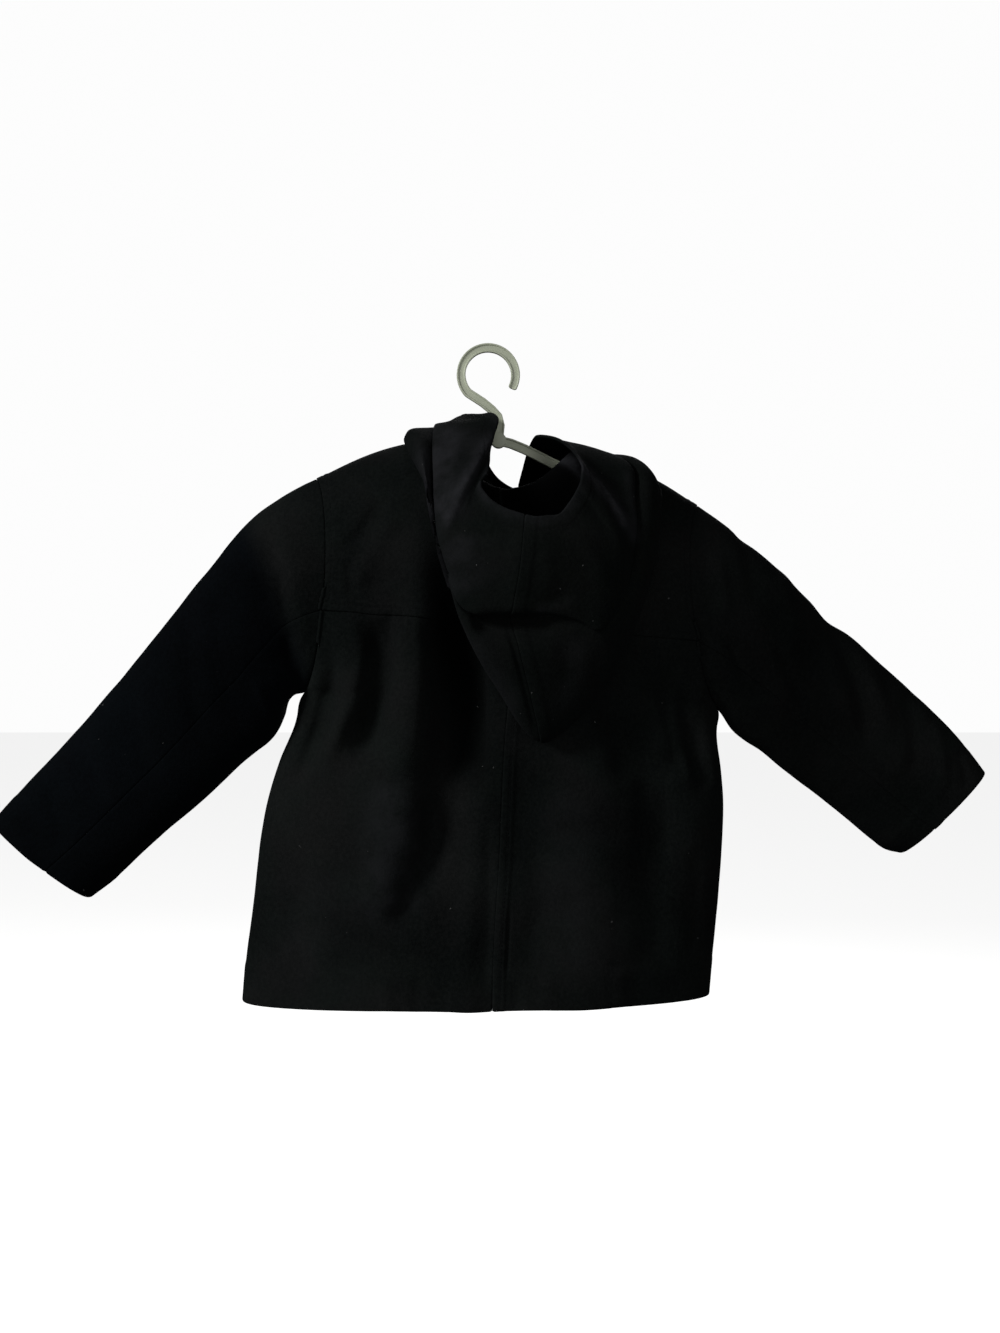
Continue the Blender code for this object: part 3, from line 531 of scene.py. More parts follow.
# %% Rings of the body
# Where the coat's sides lie seen from behind, and how far the back and the front stand
# off the plane through the side seams.
BODY = table("height   left   right   seam   back   front", [
    (0.000, -0.231, 0.196, -0.004, 0.062, 0.060),
    (0.035, -0.228, 0.199, -0.003, 0.061, 0.060),
    (0.081, -0.222, 0.204, -0.001, 0.060, 0.060),
    (0.127, -0.217, 0.208, 0.002, 0.059, 0.059),
    (0.173, -0.210, 0.210, 0.004, 0.058, 0.058),
    (0.219, -0.196, 0.206, 0.006, 0.056, 0.057),
    (0.250, -0.183, 0.202, 0.008, 0.054, 0.056),
    (0.271, -0.176, 0.203, 0.009, 0.053, 0.055),
])
print("rings of the body:", len(BODY["height"]))

# %% Armholes
# From the shoulder tip down to the underarm; inset is how far the seam curves
# in towards the neck half way down, back and front how far it swings off the middle.
ARMHOLES = {
    "left": dict(top_x=-0.165, top_height=0.472, low_x=-0.176, low_height=0.277,
                 inset=0.018, back=0.041, front=0.040),
    "right": dict(top_x=0.186, top_height=0.450, low_x=0.203, low_height=0.265,
                  inset=-0.019, back=0.041, front=0.040),
}
YOKE_ANGLES = {"left": math.radians(104), "right": math.radians(111)}     # the yoke seam
YOKE_DEPTH = 0.055               # how far the back stands off at the yoke seam
YOKE_SEAM_X = 0.010              # where the centre back seam meets it
CHEST_DEPTH = 0.056              # and the front at the same height
ARMHOLE_SWING = 1.2              # above 1 the inset gathers at the middle of the armhole
SLEEVE_HEAD = 0.3                # share of its length over which a sleeve leaves the armhole
UNDERARM_CROWD = 0.8             # below 1 the rows lie closer together at the underarm
print("chest", CHEST_DEPTH + YOKE_DEPTH, "m deep at the yoke")

# %% Neck and shoulders
NECK_WIDTH = 0.058      # half the neck seam's width
NECK_MIDDLE = 0.004     # its middle at the back, and how far the front lies to the right
NECK_SHIFT = 0.018
NECK_BACK = 0.042       # how far the neck seam reaches back and forward
NECK_FRONT = 0.055
NECK_HEIGHT = 0.4540    # its height at the back and front, and how that changes round it:
NECK_RISE_BACK = -0.0040    # it sags between the shoulders, which the hanger holds up
NECK_TILT = -0.010
NECK_RISE_SIDES = 0.0480
SHOULDER_CROWN = {"left": 0.008, "right": 0.012}    # how far a shoulder seam bows up
FULLNESS = 0.80         # below 1 the body's ring is flatter than an ellipse
NECK_EASE = 12          # how much the corner between neck and shoulder softens lower down
SIDE_REACH = 11         # an armhole's swing leads the cloth over this many columns
print("neck seam", NECK_WIDTH * 2, "m wide")

# %% Laps, buttons and hanger
OVERLAP = 3             # the fronts lie over each other for this many columns either side
OVERLAP_EASE = 3        # and the under one is led in over this many more
BUTTON_COLUMNS = (1, 5)
BUTTON_HEIGHTS = (0.170, 0.265, 0.360)
BUTTON_RADIUS = 0.0115
BUTTON_THICK = 0.0038
BUTTON_GAP = 0.0006

HANGER_Y = 0.0015       # the hanger's plane, which turns with the coat
HUB_X = 0.0015
HUB_HEIGHT = 0.509
HUB_RADIUS = 0.0070
HUB_THICK = 0.0072
BAR_TALL = 0.0087       # the moulded bar: its height, thickness, web and flanges
BAR_THICK = 0.0050
BAR_WEB = 0.0024
BAR_FLANGE = 0.0016
ARM_GAP = 0.0028        # between the bar and the underside of the shoulder seam
NECK_ROOM = 0.0015      # more of that gap where the arm passes under the neck seam
HOOK_X = -0.008         # the middle of the hook's bend
HOOK_RADIUS = 0.025
HOOK_NECK = ((-0.013, 0.544), (-0.005, 0.5375), (0.001, 0.531), (0.003, 0.523))
print("buttons:", len(BUTTON_COLUMNS) * len(BUTTON_HEIGHTS))

# %% Rings of the sleeves
# The upper and lower edge seen from behind, how far the cloth stands off on either side,
# and how far forward the ring lies.
SLEEVE_NAMES = "share   up_x   up_z    low_x   low_z   depth   forward"
SLEEVES = {
    "left": table(SLEEVE_NAMES, [
        (0.00, -0.165, 0.472, -0.176, 0.277, 0.041, -0.010),
        (0.13, -0.194, 0.456, -0.190, 0.271, 0.041, -0.013),
        (0.25, -0.225, 0.432, -0.197, 0.247, 0.039, -0.016),
        (0.38, -0.257, 0.392, -0.208, 0.232, 0.037, -0.019),
        (0.52, -0.293, 0.347, -0.228, 0.216, 0.034, -0.022),
        (0.66, -0.336, 0.293, -0.261, 0.184, 0.031, -0.026),
        (0.80, -0.377, 0.243, -0.300, 0.150, 0.029, -0.030),
        (0.92, -0.417, 0.199, -0.338, 0.115, 0.027, -0.034),
        (1.00, -0.449, 0.164, -0.363, 0.096, 0.026, -0.036),
    ]),
    "right": table(SLEEVE_NAMES, [
        (0.00, 0.186, 0.450, 0.203, 0.265, 0.041, 0.011),
        (0.13, 0.211, 0.434, 0.211, 0.257, 0.044, 0.018),
        (0.25, 0.246, 0.408, 0.225, 0.238, 0.043, 0.031),
        (0.38, 0.281, 0.378, 0.251, 0.221, 0.040, 0.045),
        (0.52, 0.320, 0.345, 0.284, 0.195, 0.034, 0.061),
        (0.66, 0.363, 0.312, 0.317, 0.171, 0.031, 0.076),
        (0.80, 0.408, 0.275, 0.353, 0.144, 0.029, 0.091),
        (0.92, 0.454, 0.234, 0.384, 0.121, 0.027, 0.103),
        (1.00, 0.485, 0.197, 0.401, 0.116, 0.026, 0.110),
    ]),
}
print("rings of a sleeve:", [len(rings["share"]) for rings in SLEEVES.values()])

# %% [markdown]
# ## The large folds
#
# Hung from two shoulders, heavy cloth falls in a few deep soft folds: a pair of valleys run down
# from the underarm, and broad swells stand between them. Each is a line through three places with
# a width and a height, in millimetres, and pushes the cloth in or out.

# %% Folds of the back and of the front
FOLD_NAMES = "top_x top_z middle_x middle_z low_x low_z width height"
BACK_FOLDS = table(FOLD_NAMES, [
    (-150, 300, -161, 246, -188, 190, 10, -10),
    (-138, 345, -126, 285, -166, 200, 13, 8),
    (-108, 350, -112, 280, -128, 200, 13, -8),
    (-86, 352, -84, 230, -110, 70, 20, 8),
    (-40, 360, -42, 210, -104, 60, 20, -14),
    (0, 250, -14, 120, -24, 0, 20, 5),
    (96, 300, 132, 220, 142, 100, 20, -9),
    (60, 230, 84, 120, 78, 0, 30, 6),
    (166, 290, 178, 235, 194, 180, 11, -8),
    (-112, 440, -114, 410, -110, 380, 16, -5),
])
FRONT_FOLDS = table(FOLD_NAMES, [
    (-152, 300, -160, 240, -186, 180, 11, -8),
    (-132, 345, -124, 260, -150, 150, 16, 6),
    (-100, 300, -104, 180, -118, 20, 20, -5),
    (148, 330, 150, 240, 160, 120, 16, 5),
    (168, 290, 176, 230, 190, 160, 11, -7),
    (112, 300, 118, 160, 112, 0, 22, -5),
])
FOLD_ENDS = 0.045       # a fold fades out over this much of its length at each end
FOLD_SIDES = 3          # and over this many columns at a side seam or an armhole
print("large folds:", [len(folds["height"]) for folds in (BACK_FOLDS, FRONT_FOLDS)])

# %% [markdown]
# ## The hood's ribs
#
# The hood is thrown back. From the neck seam each rib of cloth runs out over the back, folds
# at the hood's outline, returns to the edge of the bag that hangs over it, and climbs to the rim.
# A row for every 15 degrees round the neck is enough, because the curve between them is smooth.

# %% Ribs every 15 degrees, in millimetres
RIB_NAMES = (               # angle is a rib's place round the neck seam
    "angle fold_x fold_y fold_z edge_x edge_y edge_z step ridge_x ridge_y ridge_z rim_x rim_y rim_z"
)
HOOD = table(RIB_NAMES, [
    (-180, 21, 59, 461, 21, 60, 465, 1, 21, 60, 468, 22, 58, 471),
    (-165, 4, 56, 466, 4, 57, 470, 1, 5, 55, 473, 10, 50, 475),
    (-150, -14, 47, 478, -15, 43, 483, 2, -12, 40, 485, -5, 38, 484),
    (-135, -36, 33, 497, -34, 25, 507, 4, -26, 19, 511, -14, 20, 504),
    (-120, -64, 13, 498, -53, 3, 519, 4, -33, -4, 524, -14, 2, 523),
    (-105, -83, -3, 498, -57, -12, 521, 6, -29, -24, 523, 0, -22, 529),
    (-90, -81, -26, 498, -57, -44, 497, 11, -18, -50, 505, -4, -42, 505),
    (-75, -75, -41, 484, -56, -64, 469, 12, -24, -80, 473, -7, -62, 486),
    (-60, -66, -53, 470, -55, -76, 440, 9, -31, -92, 452, -8, -78, 471),
    (-45, -57, -63, 438, -51, -84, 406, 1, -31, -97, 425, -15, -90, 459),
    (-30, -37, -69, 362, -38, -88, 366, 1, -24, -99, 392, -9, -97, 446),
    (-15, -10, -67, 297, -22, -90, 346, 9, -6, -102, 389, 4, -101, 436),
    (0, 38, -63, 235, 12, -91, 346, 10, 20, -103, 387, 24, -103, 429),
    (15, 69, -59, 254, 40, -90, 345, 9, 44, -103, 387, 34, -104, 427),
    (30, 95, -56, 285, 65, -88, 342, 3, 65, -101, 391, 41, -104, 428),
    (45, 115, -54, 320, 89, -84, 332, 1, 88, -97, 392, 54, -101, 430),
    (60, 127, -53, 349, 105, -77, 352, 3, 106, -89, 405, 65, -95, 444),
    (75, 138, -50, 382, 116, -69, 383, 5, 102, -83, 426, 74, -82, 462),
    (90, 144, -44, 414, 122, -60, 421, 7, 94, -71, 449, 73, -65, 479),
    (105, 148, -30, 446, 122, -44, 458, 8, 84, -48, 475, 68, -45, 493),
    (120, 140, -3, 478, 119, -18, 489, 9, 80, -24, 499, 45, -22, 512),
    (135, 88, 30, 487, 80, 20, 496, 5, 60, 10, 506, 31, 16, 502),
    (150, 56, 50, 473, 52, 46, 481, 3, 41, 40, 488, 27, 36, 487),
    (165, 38, 59, 463, 37, 58, 469, 1, 32, 55, 474, 25, 50, 476),
    (180, 23, 59, 461, 23, 60, 465, 1, 23, 60, 468, 22, 58, 471),
])
HOOD_ENDS = 177.0       # the hood's front edges stop this many degrees from the back
HOOD_STAND = 0.007      # how far the hood rises from the neck seam before it turns over
HOOD_OUT, HOOD_OVER = 0.001, 0.007      # out from that seam: as it rises, and turned over
HOOD_SINK = 0.9         # and by then it has sunk to this share of its rise
HOOD_FULL = 0.030       # where a rib is shorter than this, its folds shrink with it
HOOD_CLEAR = 0.0030     # the hood's lower layer lies this far off the coat
SHOULDER_CLEAR = 0.0015     # and this much further where it goes over a shoulder
HOOD_TURN = 0.005       # half the roll where the hood folds
HOOD_LAYERS = 0.0095    # the least room for the hood's lower layers under that edge
HOOD_LEAST = 0.0005     # the least height of the step there
HOOD_TUCK = 0.0025      # how far the cloth goes back under the edge of the bag
HOOD_LIP = 0.005        # and less where that edge stands less than this off what is below
HOOD_SWELL = 0.7        # below that edge it swells out again by this share of the step
HOOD_SWELL_AT = 0.16    # this far down towards the fold
RIB_CUTS = (1, 1, 1, 1, 1, 1, 1, 1, 1, 1, 1, 2, 3)     # faces between a rib's guide points
RIB_BASE = 7            # how many of them lie on the coat
SHOULDER_RIB = 88.0     # ribs beyond this angle start in front of a shoulder seam
SHOULDER_BLEND = (75, 25)       # degrees: from where and over how many the shoulder counts
FORWARD_BLEND = (120, 15)       # and the part of the hood that lies in front of it
BACK_LAYERS, FORWARD_LAYERS = 2.5, 1.3  # walls under the bag behind, and in front
print("ribs given:", len(HOOD["angle"]))

# %% [markdown]
# ## Drawing the lines
#
# These helpers turn the tables into curves. Reading a table on a smooth curve means that a few
# rows describe a long soft outline without corners.

# %% Smooth steps and curves
def unit(vector):
    """The vector at length 1."""
    return vector / np.linalg.norm(vector)


def smooth(t):
    """0 to 1 with level ends."""
    t = np.clip(t, 0.0, 1.0)
    return t * t * (3.0 - 2.0 * t)


def between(t, span, first, last, first_slope, last_slope):
    """A value on a smooth curve from the first to the last, at the share t of the span."""
    t2, t3 = t * t, t * t * t
    return (
        (2 * t3 - 3 * t2 + 1) * first
        + (t3 - 2 * t2 + t) * span * first_slope
        + (3 * t2 - 2 * t3) * last
        + (t3 - t2) * span * last_slope
    )


def read(columns, key, by, at):
    """A column of a table at a place between its rows, on a smooth curve through them."""
    xs, ys = columns[by], columns[key]
    slopes = np.gradient(ys, xs)
    i = int(np.clip(np.searchsorted(xs, at) - 1, 0, len(xs) - 2))
    span = xs[i + 1] - xs[i]
    return between((at - xs[i]) / span, span, ys[i], ys[i + 1], slopes[i], slopes[i + 1])


def curve_through(points, cuts):
    """Points on a smooth curve through the given ones; cuts says into how many pieces
    each stretch between two given points is divided."""
    points = np.array(points, float)
    steps = np.linalg.norm(np.diff(points, axis=0), axis=1)
    knots = np.concatenate([[0.0], np.cumsum(np.sqrt(steps + 1e-6))])
    columns = {"t": knots, **{k: points[:, k] for k in range(3)}}
    places = [
        knots[i] + (knots[i + 1] - knots[i]) * k / count
        for i, count in enumerate(cuts)
        for k in range(count)
    ]
    places.append(knots[-1])
    return np.array([[read(columns, k, "t", t) for k in range(3)] for t in places])


def three_places(rows, k):
    """The top, middle and low place of a fold or a crease, across and up, in metres."""
    keys = ("top", "middle", "low")
    return [MM * np.array([rows[f"{key}_x"][k], rows[f"{key}_z"][k]]) for key in keys]


print("halfway up a smooth step:", smooth(0.5))

# %% Armholes, neck and shoulder seams
def armhole(side, angle):
    """The armhole seam: angle 0 at the shoulder tip, through the back to the underarm."""
    a = ARMHOLES[side]
    share = (1.0 - math.cos(angle)) / 2.0
    swing = abs(math.sin(angle)) ** ARMHOLE_SWING
    x = a["top_x"] + (a["low_x"] - a["top_x"]) * share + a["inset"] * swing
    reach = -a["back"] if math.sin(angle) >= 0 else a["front"]
    y = reach * abs(math.sin(angle)) + TURN * x
    return np.array([x, y, a["top_height"] + (a["low_height"] - a["top_height"]) * share])


def under_angles(side):
    """Places down the back of an armhole, from the underarm up to the yoke seam."""
    shares = (np.arange(ARMHOLE_ROWS + 1) / ARMHOLE_ROWS) ** UNDERARM_CROWD
    return math.pi + (YOKE_ANGLES[side] - math.pi) * shares


def neck(angle):
    """The neck seam: angle 0 at the back, positive round the right-hand side."""
    c, s = math.cos(angle), math.sin(angle)
    x = NECK_MIDDLE + NECK_WIDTH * s + NECK_SHIFT * (1.0 - c) / 2.0
    y = (NECK_FRONT - NECK_BACK) / 2.0 - (NECK_FRONT + NECK_BACK) / 2.0 * c + TURN * x
    z = NECK_HEIGHT + NECK_RISE_BACK * c + NECK_TILT * s + NECK_RISE_SIDES * s * s
    return np.array([x, y, z])


def shoulder(side, share):
    """The shoulder seam, from the tip at 0 to the neck at 1."""
    tip = armhole(side, 0.0)
    end = neck(math.radians(-90 if side == "left" else 90))
    point = tip + (end - tip) * share
    point[2] += SHOULDER_CROWN[side] * math.sin(math.pi * share)
    return point


def top_edge(front):
    """The upper edge of the back or of the front, from the left shoulder tip to the right."""
    left = [shoulder("left", k / SHOULDER_COLUMNS) for k in range(SHOULDER_COLUMNS)]
    right = [shoulder("right", k / SHOULDER_COLUMNS) for k in range(SHOULDER_COLUMNS)]
    first, last = (-90.0, 90.0) if not front else (-90.0, -270.0)
    angles = np.radians(np.linspace(first, last, NECK_COLUMNS + 1))
    return np.array(left + [neck(a) for a in angles] + right[::-1])

# %% Folds push the cloth in and out
def fold_height(folds, x, z):
    """How far the folds of one side push its cloth out at a place."""
    total = 0.0
    for k, width in enumerate(folds["width"]):
        top, middle, low = three_places(folds, k)
        share = np.clip((top[1] - z) / (top[1] - low[1]), 0.0, 1.0)
        at = (top[1] - middle[1]) / (top[1] - low[1])
        bow = (middle[0] - top[0] - (low[0] - top[0]) * at) / (at * (1 - at))
        line_x = top[0] + (low[0] - top[0]) * share + bow * share * (1 - share)
        fade = smooth((top[1] - z) / FOLD_ENDS)
        if low[1] > 0:
            fade *= smooth((z - low[1]) / FOLD_ENDS)
        total += MM * folds["height"][k] * fade * math.exp(-(((x - line_x) / (MM * width)) ** 2))
    return total

# %% Rows of the body
def row_between(left, right, depth, seam_x):
    """A row of the body: an oval that stands depth off the middle plane, led to its two
    side points. Depth is negative at the back."""
    centre = (left[0] + right[0]) / 2
    points = []
    for k in range(COLUMNS + 1):
        angle = math.pi * k / COLUMNS
        along = (1 - math.cos(angle)) / 2
        towards_seam = (4 * along * (1 - along)) ** 2
        x = left[0] + (right[0] - left[0]) * along + (seam_x - centre) * towards_seam
        y = depth * math.sin(angle) ** FULLNESS + TURN * x
        z = left[2] + (right[2] - left[2]) * along
        for side, share in ((left, 1 - k / SIDE_REACH), (right, 1 - (COLUMNS - k) / SIDE_REACH)):
            lead = max(0.0, share) ** 2
            y += (side[1] - TURN * side[0]) * lead
        if depth * y > depth * (depth + TURN * x):
            y = depth + TURN * x
        points.append((x, y, z))
    return np.array(points)


def side_grid(front):
    """Every row of the back or of the front, from the hem to the shoulder seams."""
    sign = 1.0 if front else -1.0
    key = "front" if front else "back"
    rows = []
    under = BODY["height"][-1]
    lowest = {side: ARMHOLES[side]["low_height"] for side in ARMHOLES}
    for k in range(BODY_ROWS):
        ends = []
        for side in ("left", "right"):
            height = lowest[side] * k / BODY_ROWS
            x = read(BODY, side, "height", min(height, under))
            ends.append((x, TURN * x, height))
        middle = min((ends[0][2] + ends[1][2]) / 2, under)
        depth = sign * read(BODY, key, "height", middle)
        rows.append(row_between(*ends, depth, read(BODY, "seam", "height", middle)))
    yoke_depth = CHEST_DEPTH if front else YOKE_DEPTH
    for k, angles in enumerate(zip(under_angles("left"), under_angles("right"))):
        share = k / ARMHOLE_ROWS
        if front:
            angles = [2 * math.pi - angle for angle in angles]
        ends = [armhole(side, angle) for side, angle in zip(("left", "right"), angles)]
        depth = sign * (BODY[key][-1] + (yoke_depth - BODY[key][-1]) * share)
        rows.append(row_between(*ends, depth, YOKE_SEAM_X))
    yoke = rows[-1]
    top = top_edge(front)
    near = np.linspace(1.0, 0.0, SHOULDER_COLUMNS + 1)[:, None] ** 2
    eased = top.copy()
    for _ in range(NECK_EASE):
        eased[1:-1] = (eased[:-2] + eased[2:]) / 2
    for k in range(1, YOKE_ROWS + 1):
        turned = {side: angle * (1 - k / YOKE_ROWS) for side, angle in YOKE_ANGLES.items()}
        first, angle = YOKE_ANGLES["left"], turned["left"]
        rise = (math.cos(angle) - math.cos(first)) / (1 - math.cos(first))
        stay = math.sin(angle) / math.sin(first)
        towards = eased + (top - eased) * rise ** 3
        row = yoke + (towards - yoke) * rise
        row[:, 1] = towards[:, 1] + (yoke[:, 1] - towards[:, 1]) * stay
        ends = {side: armhole(side, -angle if front else angle) for side, angle in turned.items()}
        row[: SHOULDER_COLUMNS + 1] += near * (ends["left"] - row[0])
        row[-SHOULDER_COLUMNS - 1:] += near[::-1] * (ends["right"] - row[-1])
        rows.append(row)
    grid = np.array(rows)
    folds = FRONT_FOLDS if front else BACK_FOLDS
    for row in grid[:-1]:
        for j in range(1, COLUMNS):
            edge = smooth(min(j, COLUMNS - j) / FOLD_SIDES)
            row[j, 1] += sign * edge * fold_height(folds, row[j, 0], row[j, 2])
    return grid

# %% Rings of a sleeve
def sleeve_grid(side):
    """Rings of a sleeve from the armhole to the cuff; the first column is on the top
    edge, and the columns go round through the back."""
    s, a = SLEEVES[side], ARMHOLES[side]
    upper = [YOKE_ANGLES[side] * k / YOKE_ROWS for k in range(YOKE_ROWS)]
    back = upper + list(under_angles(side)[:0:-1])
    angles = back + [math.pi] + [2 * math.pi - angle for angle in back[:0:-1]]
    rings = []
    for k in range(SLEEVE_ROWS + 1):
        share = k / SLEEVE_ROWS
        up = np.array([read(s, "up_x", "share", share), 0, read(s, "up_z", "share", share)])
        low = np.array([read(s, "low_x", "share", share), 0, read(s, "low_z", "share", share)])
        depth = read(s, "depth", "share", share)
        forward = read(s, "forward", "share", share)
        head = 1.0 - smooth(share / SLEEVE_HEAD)
        ring = []
        for angle in angles:
            part = (1.0 - math.cos(angle)) / 2.0
            swing = abs(math.sin(angle))
            point = up + (low - up) * part
            point[0] += a["inset"] * swing ** ARMHOLE_SWING * head
            reach = -depth if angle <= math.pi else depth
            point[1] = reach * swing ** (0.8 + 0.2 * head) + forward
            ring.append(point)
        if k == 0:
            ring = [armhole(side, angle) for angle in angles]
        rings.append(ring + ring[:1])
    return np.array(rings)

# %% The two fronts lap over each other
def key_of(point):
    """A name for a place, the same for every piece that meets there."""
    return tuple(np.round(point * 1e5).astype(int))


def overlapped(front, normals):
    """The two fronts: the left one is the coat's surface, and the right one is led in
    behind it where they lie over each other."""
    middle = COLUMNS // 2
    under = front[:, : middle + OVERLAP + 1].copy()
    for row in under:
        for j in range(row.shape[0]):
            share = (j + 1 + OVERLAP + OVERLAP_EASE - middle) / OVERLAP_EASE
            row[j] -= normals[key_of(row[j])] * (WALL + OVERLAP_GAP) * smooth(share)
    return under, front[:, middle - OVERLAP:]


print("the fronts lap over", 2 * OVERLAP, "columns")

# %% Laying the hood on the coat
def tree_of(grids):
    """The outer faces of some pieces, to measure distances from."""
    points, faces = [], []
    for grid in grids:
        rows, columns = grid.shape[:2]
        first = len(points)
        points += [Vector(p) for p in grid.reshape(-1, 3)]
        for i in range(rows - 1):
            for j in range(columns - 1):
                a = first + i * columns + j
                faces.append((a, a + 1, a + columns + 1, a + columns))
    return BVHTree.FromPolygons(points, faces)


def clear_of(tree, point, distance):
    """The point, moved out where it lies nearer to the coat than the distance."""
    near, normal, _, _ = tree.find_nearest(Vector(point))
    off = (Vector(point) - near).dot(normal)
    if off >= distance:
        return point
    return point + np.array(normal) * (distance - off)


def resting(tree, point, distance, over_shoulder):
    """The point laid on the coat: from above on a rib that crosses a shoulder."""
    if over_shoulder:
        hit = tree.ray_cast(Vector((point[0], point[1], 1.0)), Vector((0, 0, -1)))[0]
        if hit is not None and hit.z + distance > point[2]:
            point = np.array([point[0], point[1], hit.z + distance])
    return clear_of(tree, point, distance)

# %% One rib of the hood
def beyond_angle(angle, first, blend):
    """0 on ribs up to the first angle, 1 past the blend, on either side of the neck."""
    return smooth((abs(angle) - first) / blend)


def rib(tree, angle):
    """One rib of the hood, from the neck seam to the rim."""
    place = {}
    for name in ("fold", "edge", "ridge", "rim"):
        place[name] = MM * np.array([read(HOOD, f"{name}_{c}", "angle", angle) for c in "xyz"])
    fold, edge = place["fold"], place["edge"]
    start = neck(math.radians(angle))
    centre = (neck(0.0) + neck(math.pi)) / 2
    outward = unit((start - centre) * (1, 1, 0))
    size = min(1.0, np.linalg.norm(fold - start) / HOOD_FULL)
    up = np.array([0, 0, HOOD_STAND * size])
    stand = start + up + outward * HOOD_OUT
    over = start + HOOD_SINK * up + outward * HOOD_OVER * size
    inward = edge - fold
    inward /= np.linalg.norm(inward) + 1e-9
    normal = tree.find_nearest(Vector(fold))[1]
    turn = np.array(normal) * HOOD_TURN * size
    before = fold - turn + inward * HOOD_TURN * size
    after = fold + turn + inward * HOOD_TURN * size
    near = np.array(tree.find_nearest(Vector(edge))[0])
    room = np.linalg.norm(near - edge)
    step = min(MM * read(HOOD, "step", "angle", angle), max(room - HOOD_LAYERS, HOOD_LEAST))
    down = (near - edge) / room
    tuck = HOOD_TUCK * size * min(1.0, step / HOOD_LIP)
    foot = edge + down * step + inward * tuck
    swell = foot + (after - foot) * HOOD_SWELL_AT - down * step * HOOD_SWELL
    crosses = abs(angle) > SHOULDER_RIB
    clear = HOOD_CLEAR + SHOULDER_CLEAR * beyond_angle(angle, *SHOULDER_BLEND)
    base = [over + (before - over) * share for share in (0.25, 0.5, 0.75, 1.0)]
    base = [resting(tree, p, clear, crosses) for p in base]
    bag = [after, swell, foot, edge, place["ridge"], place["rim"]]
    line = curve_through([start, stand, over, *base, fold, *bag], RIB_CUTS)
    for k in range(1, RIB_BASE + 1):
        line[k] = resting(tree, line[k], clear * min(1.0, k / 3), crosses)
    forward = beyond_angle(angle, *FORWARD_BLEND)
    behind = (clear + BACK_LAYERS * WALL) * (1 - forward)
    upper = behind + (HOOD_CLEAR + FORWARD_LAYERS * WALL) * forward
    for k in range(RIB_BASE + 1, len(line)):
        line[k] = clear_of(tree, line[k], upper)
    return line


def hood_grid(tree):
    """Ribs all the way round the neck, from the left front edge to the right one."""
    angles = np.linspace(-180.0, 180.0, 2 * NECK_COLUMNS + 1)
    angles[0], angles[-1] = -HOOD_ENDS, HOOD_ENDS
    return np.array([rib(tree, angle) for angle in angles])

# %% Normals that neighbours share
def face_normals(grid):
    """The outward normal of each face of a grid of points."""
    across = grid[1:, 1:] - grid[:-1, :-1]
    along = grid[:-1, 1:] - grid[1:, :-1]
    return np.cross(along, across)


def shared_normals(grids):
    """A normal for each point, the same on every piece that meets there."""
    total = {}
    for grid in grids:
        for i, row in enumerate(face_normals(grid)):
            for j, normal in enumerate(row):
                length = np.linalg.norm(normal)
                if length < 1e-12:
                    continue
                for a, b in ((i, j), (i, j + 1), (i + 1, j), (i + 1, j + 1)):
                    key = key_of(grid[a, b])
                    total[key] = total.get(key, 0.0) + normal / length
    return {key: unit(normal) for key, normal in total.items()}

# %% Lines of the hanger
ARM_CUTS = 6                # finer than the solid's
ARM_SHARES = {"left": (0.78, 0.10), "right": (0.82, 0.16)}      # where arms run under seams
HOOK_CUTS = 90
HOOK_TURN = (-25, 222)      # degrees, from the open end over the top
HOOK_IN = 0.001             # the hook ends this far below the hub's middle


def bar_section(thick, tall):
    """An I-shaped section: two flanges joined by a thin web."""
    half, top = thick / 2, tall / 2
    web, flange = BAR_WEB / 2, top - BAR_FLANGE
    quarter = [(half, top), (half, flange), (web, flange)]
    lower = [(u, -v) for u, v in reversed(quarter)]
    right = quarter + lower
    return right + [(-u, v) for u, v in reversed(right)]


def hanger_plane(x, height):
    """A place in the hanger's plane, which is turned as the coat is."""
    return np.array([x, HANGER_Y + TURN * x, height])


def hanger_arm_line():
    """The arms: straight from the hub, then close under the two shoulder seams."""
    hub = hanger_plane(HUB_X, HUB_HEIGHT)
    line = {}
    drop = WALL + ARM_GAP + BAR_TALL / 2
    for side, shares in ARM_SHARES.items():
        points = []
        for share in np.linspace(*shares, 6):
            seam = shoulder(side, share)
            points.append(hanger_plane(seam[0], seam[2] - drop))
        beside = neck(math.radians(-90 if side == "left" else 90))
        points.insert(0, hanger_plane(beside[0], beside[2] - drop - NECK_ROOM))
        line[side] = points
    given = line["left"][::-1] + [hub] + line["right"]
    return curve_through(given, (ARM_CUTS,) * (len(given) - 1))


def hook_line():
    """The hook, from its open end over the top and down to the hub."""
    centre_x, centre_z = HOOK_X, HEM_TO_HOOK + BAR_TALL / 2 - HOOK_RADIUS
    line = []
    for degrees in np.linspace(*HOOK_TURN, HOOK_CUTS):
        angle = math.radians(degrees)
        x = centre_x + HOOK_RADIUS * math.cos(angle)
        line.append(hanger_plane(x, centre_z + HOOK_RADIUS * math.sin(angle)))
    for x, height in HOOK_NECK:
        line.append(hanger_plane(x, height))
    line.append(hanger_plane(HUB_X, HUB_HEIGHT - HOOK_IN))
    return line


print("the bar is", BAR_TALL * 1000, "mm tall")

# %% [markdown]
# ## Finer cloth on the same lines
#
# The solids have a point every one or two centimetres. We could subdivide them, but that
# rounds every seam. Instead each stretch between two points is divided on a smooth curve
# through its neighbours, so the fine cloth still passes through every point of the coarse
# one. Beside a seam the points lie closer, because the pressed edge there is narrow.

# %% Dividing a grid of points
FINE = 2.6      # millimetres between the points of the fine cloth
SEAM_FINER = 2.2                            # and beside a seam, this many times closer


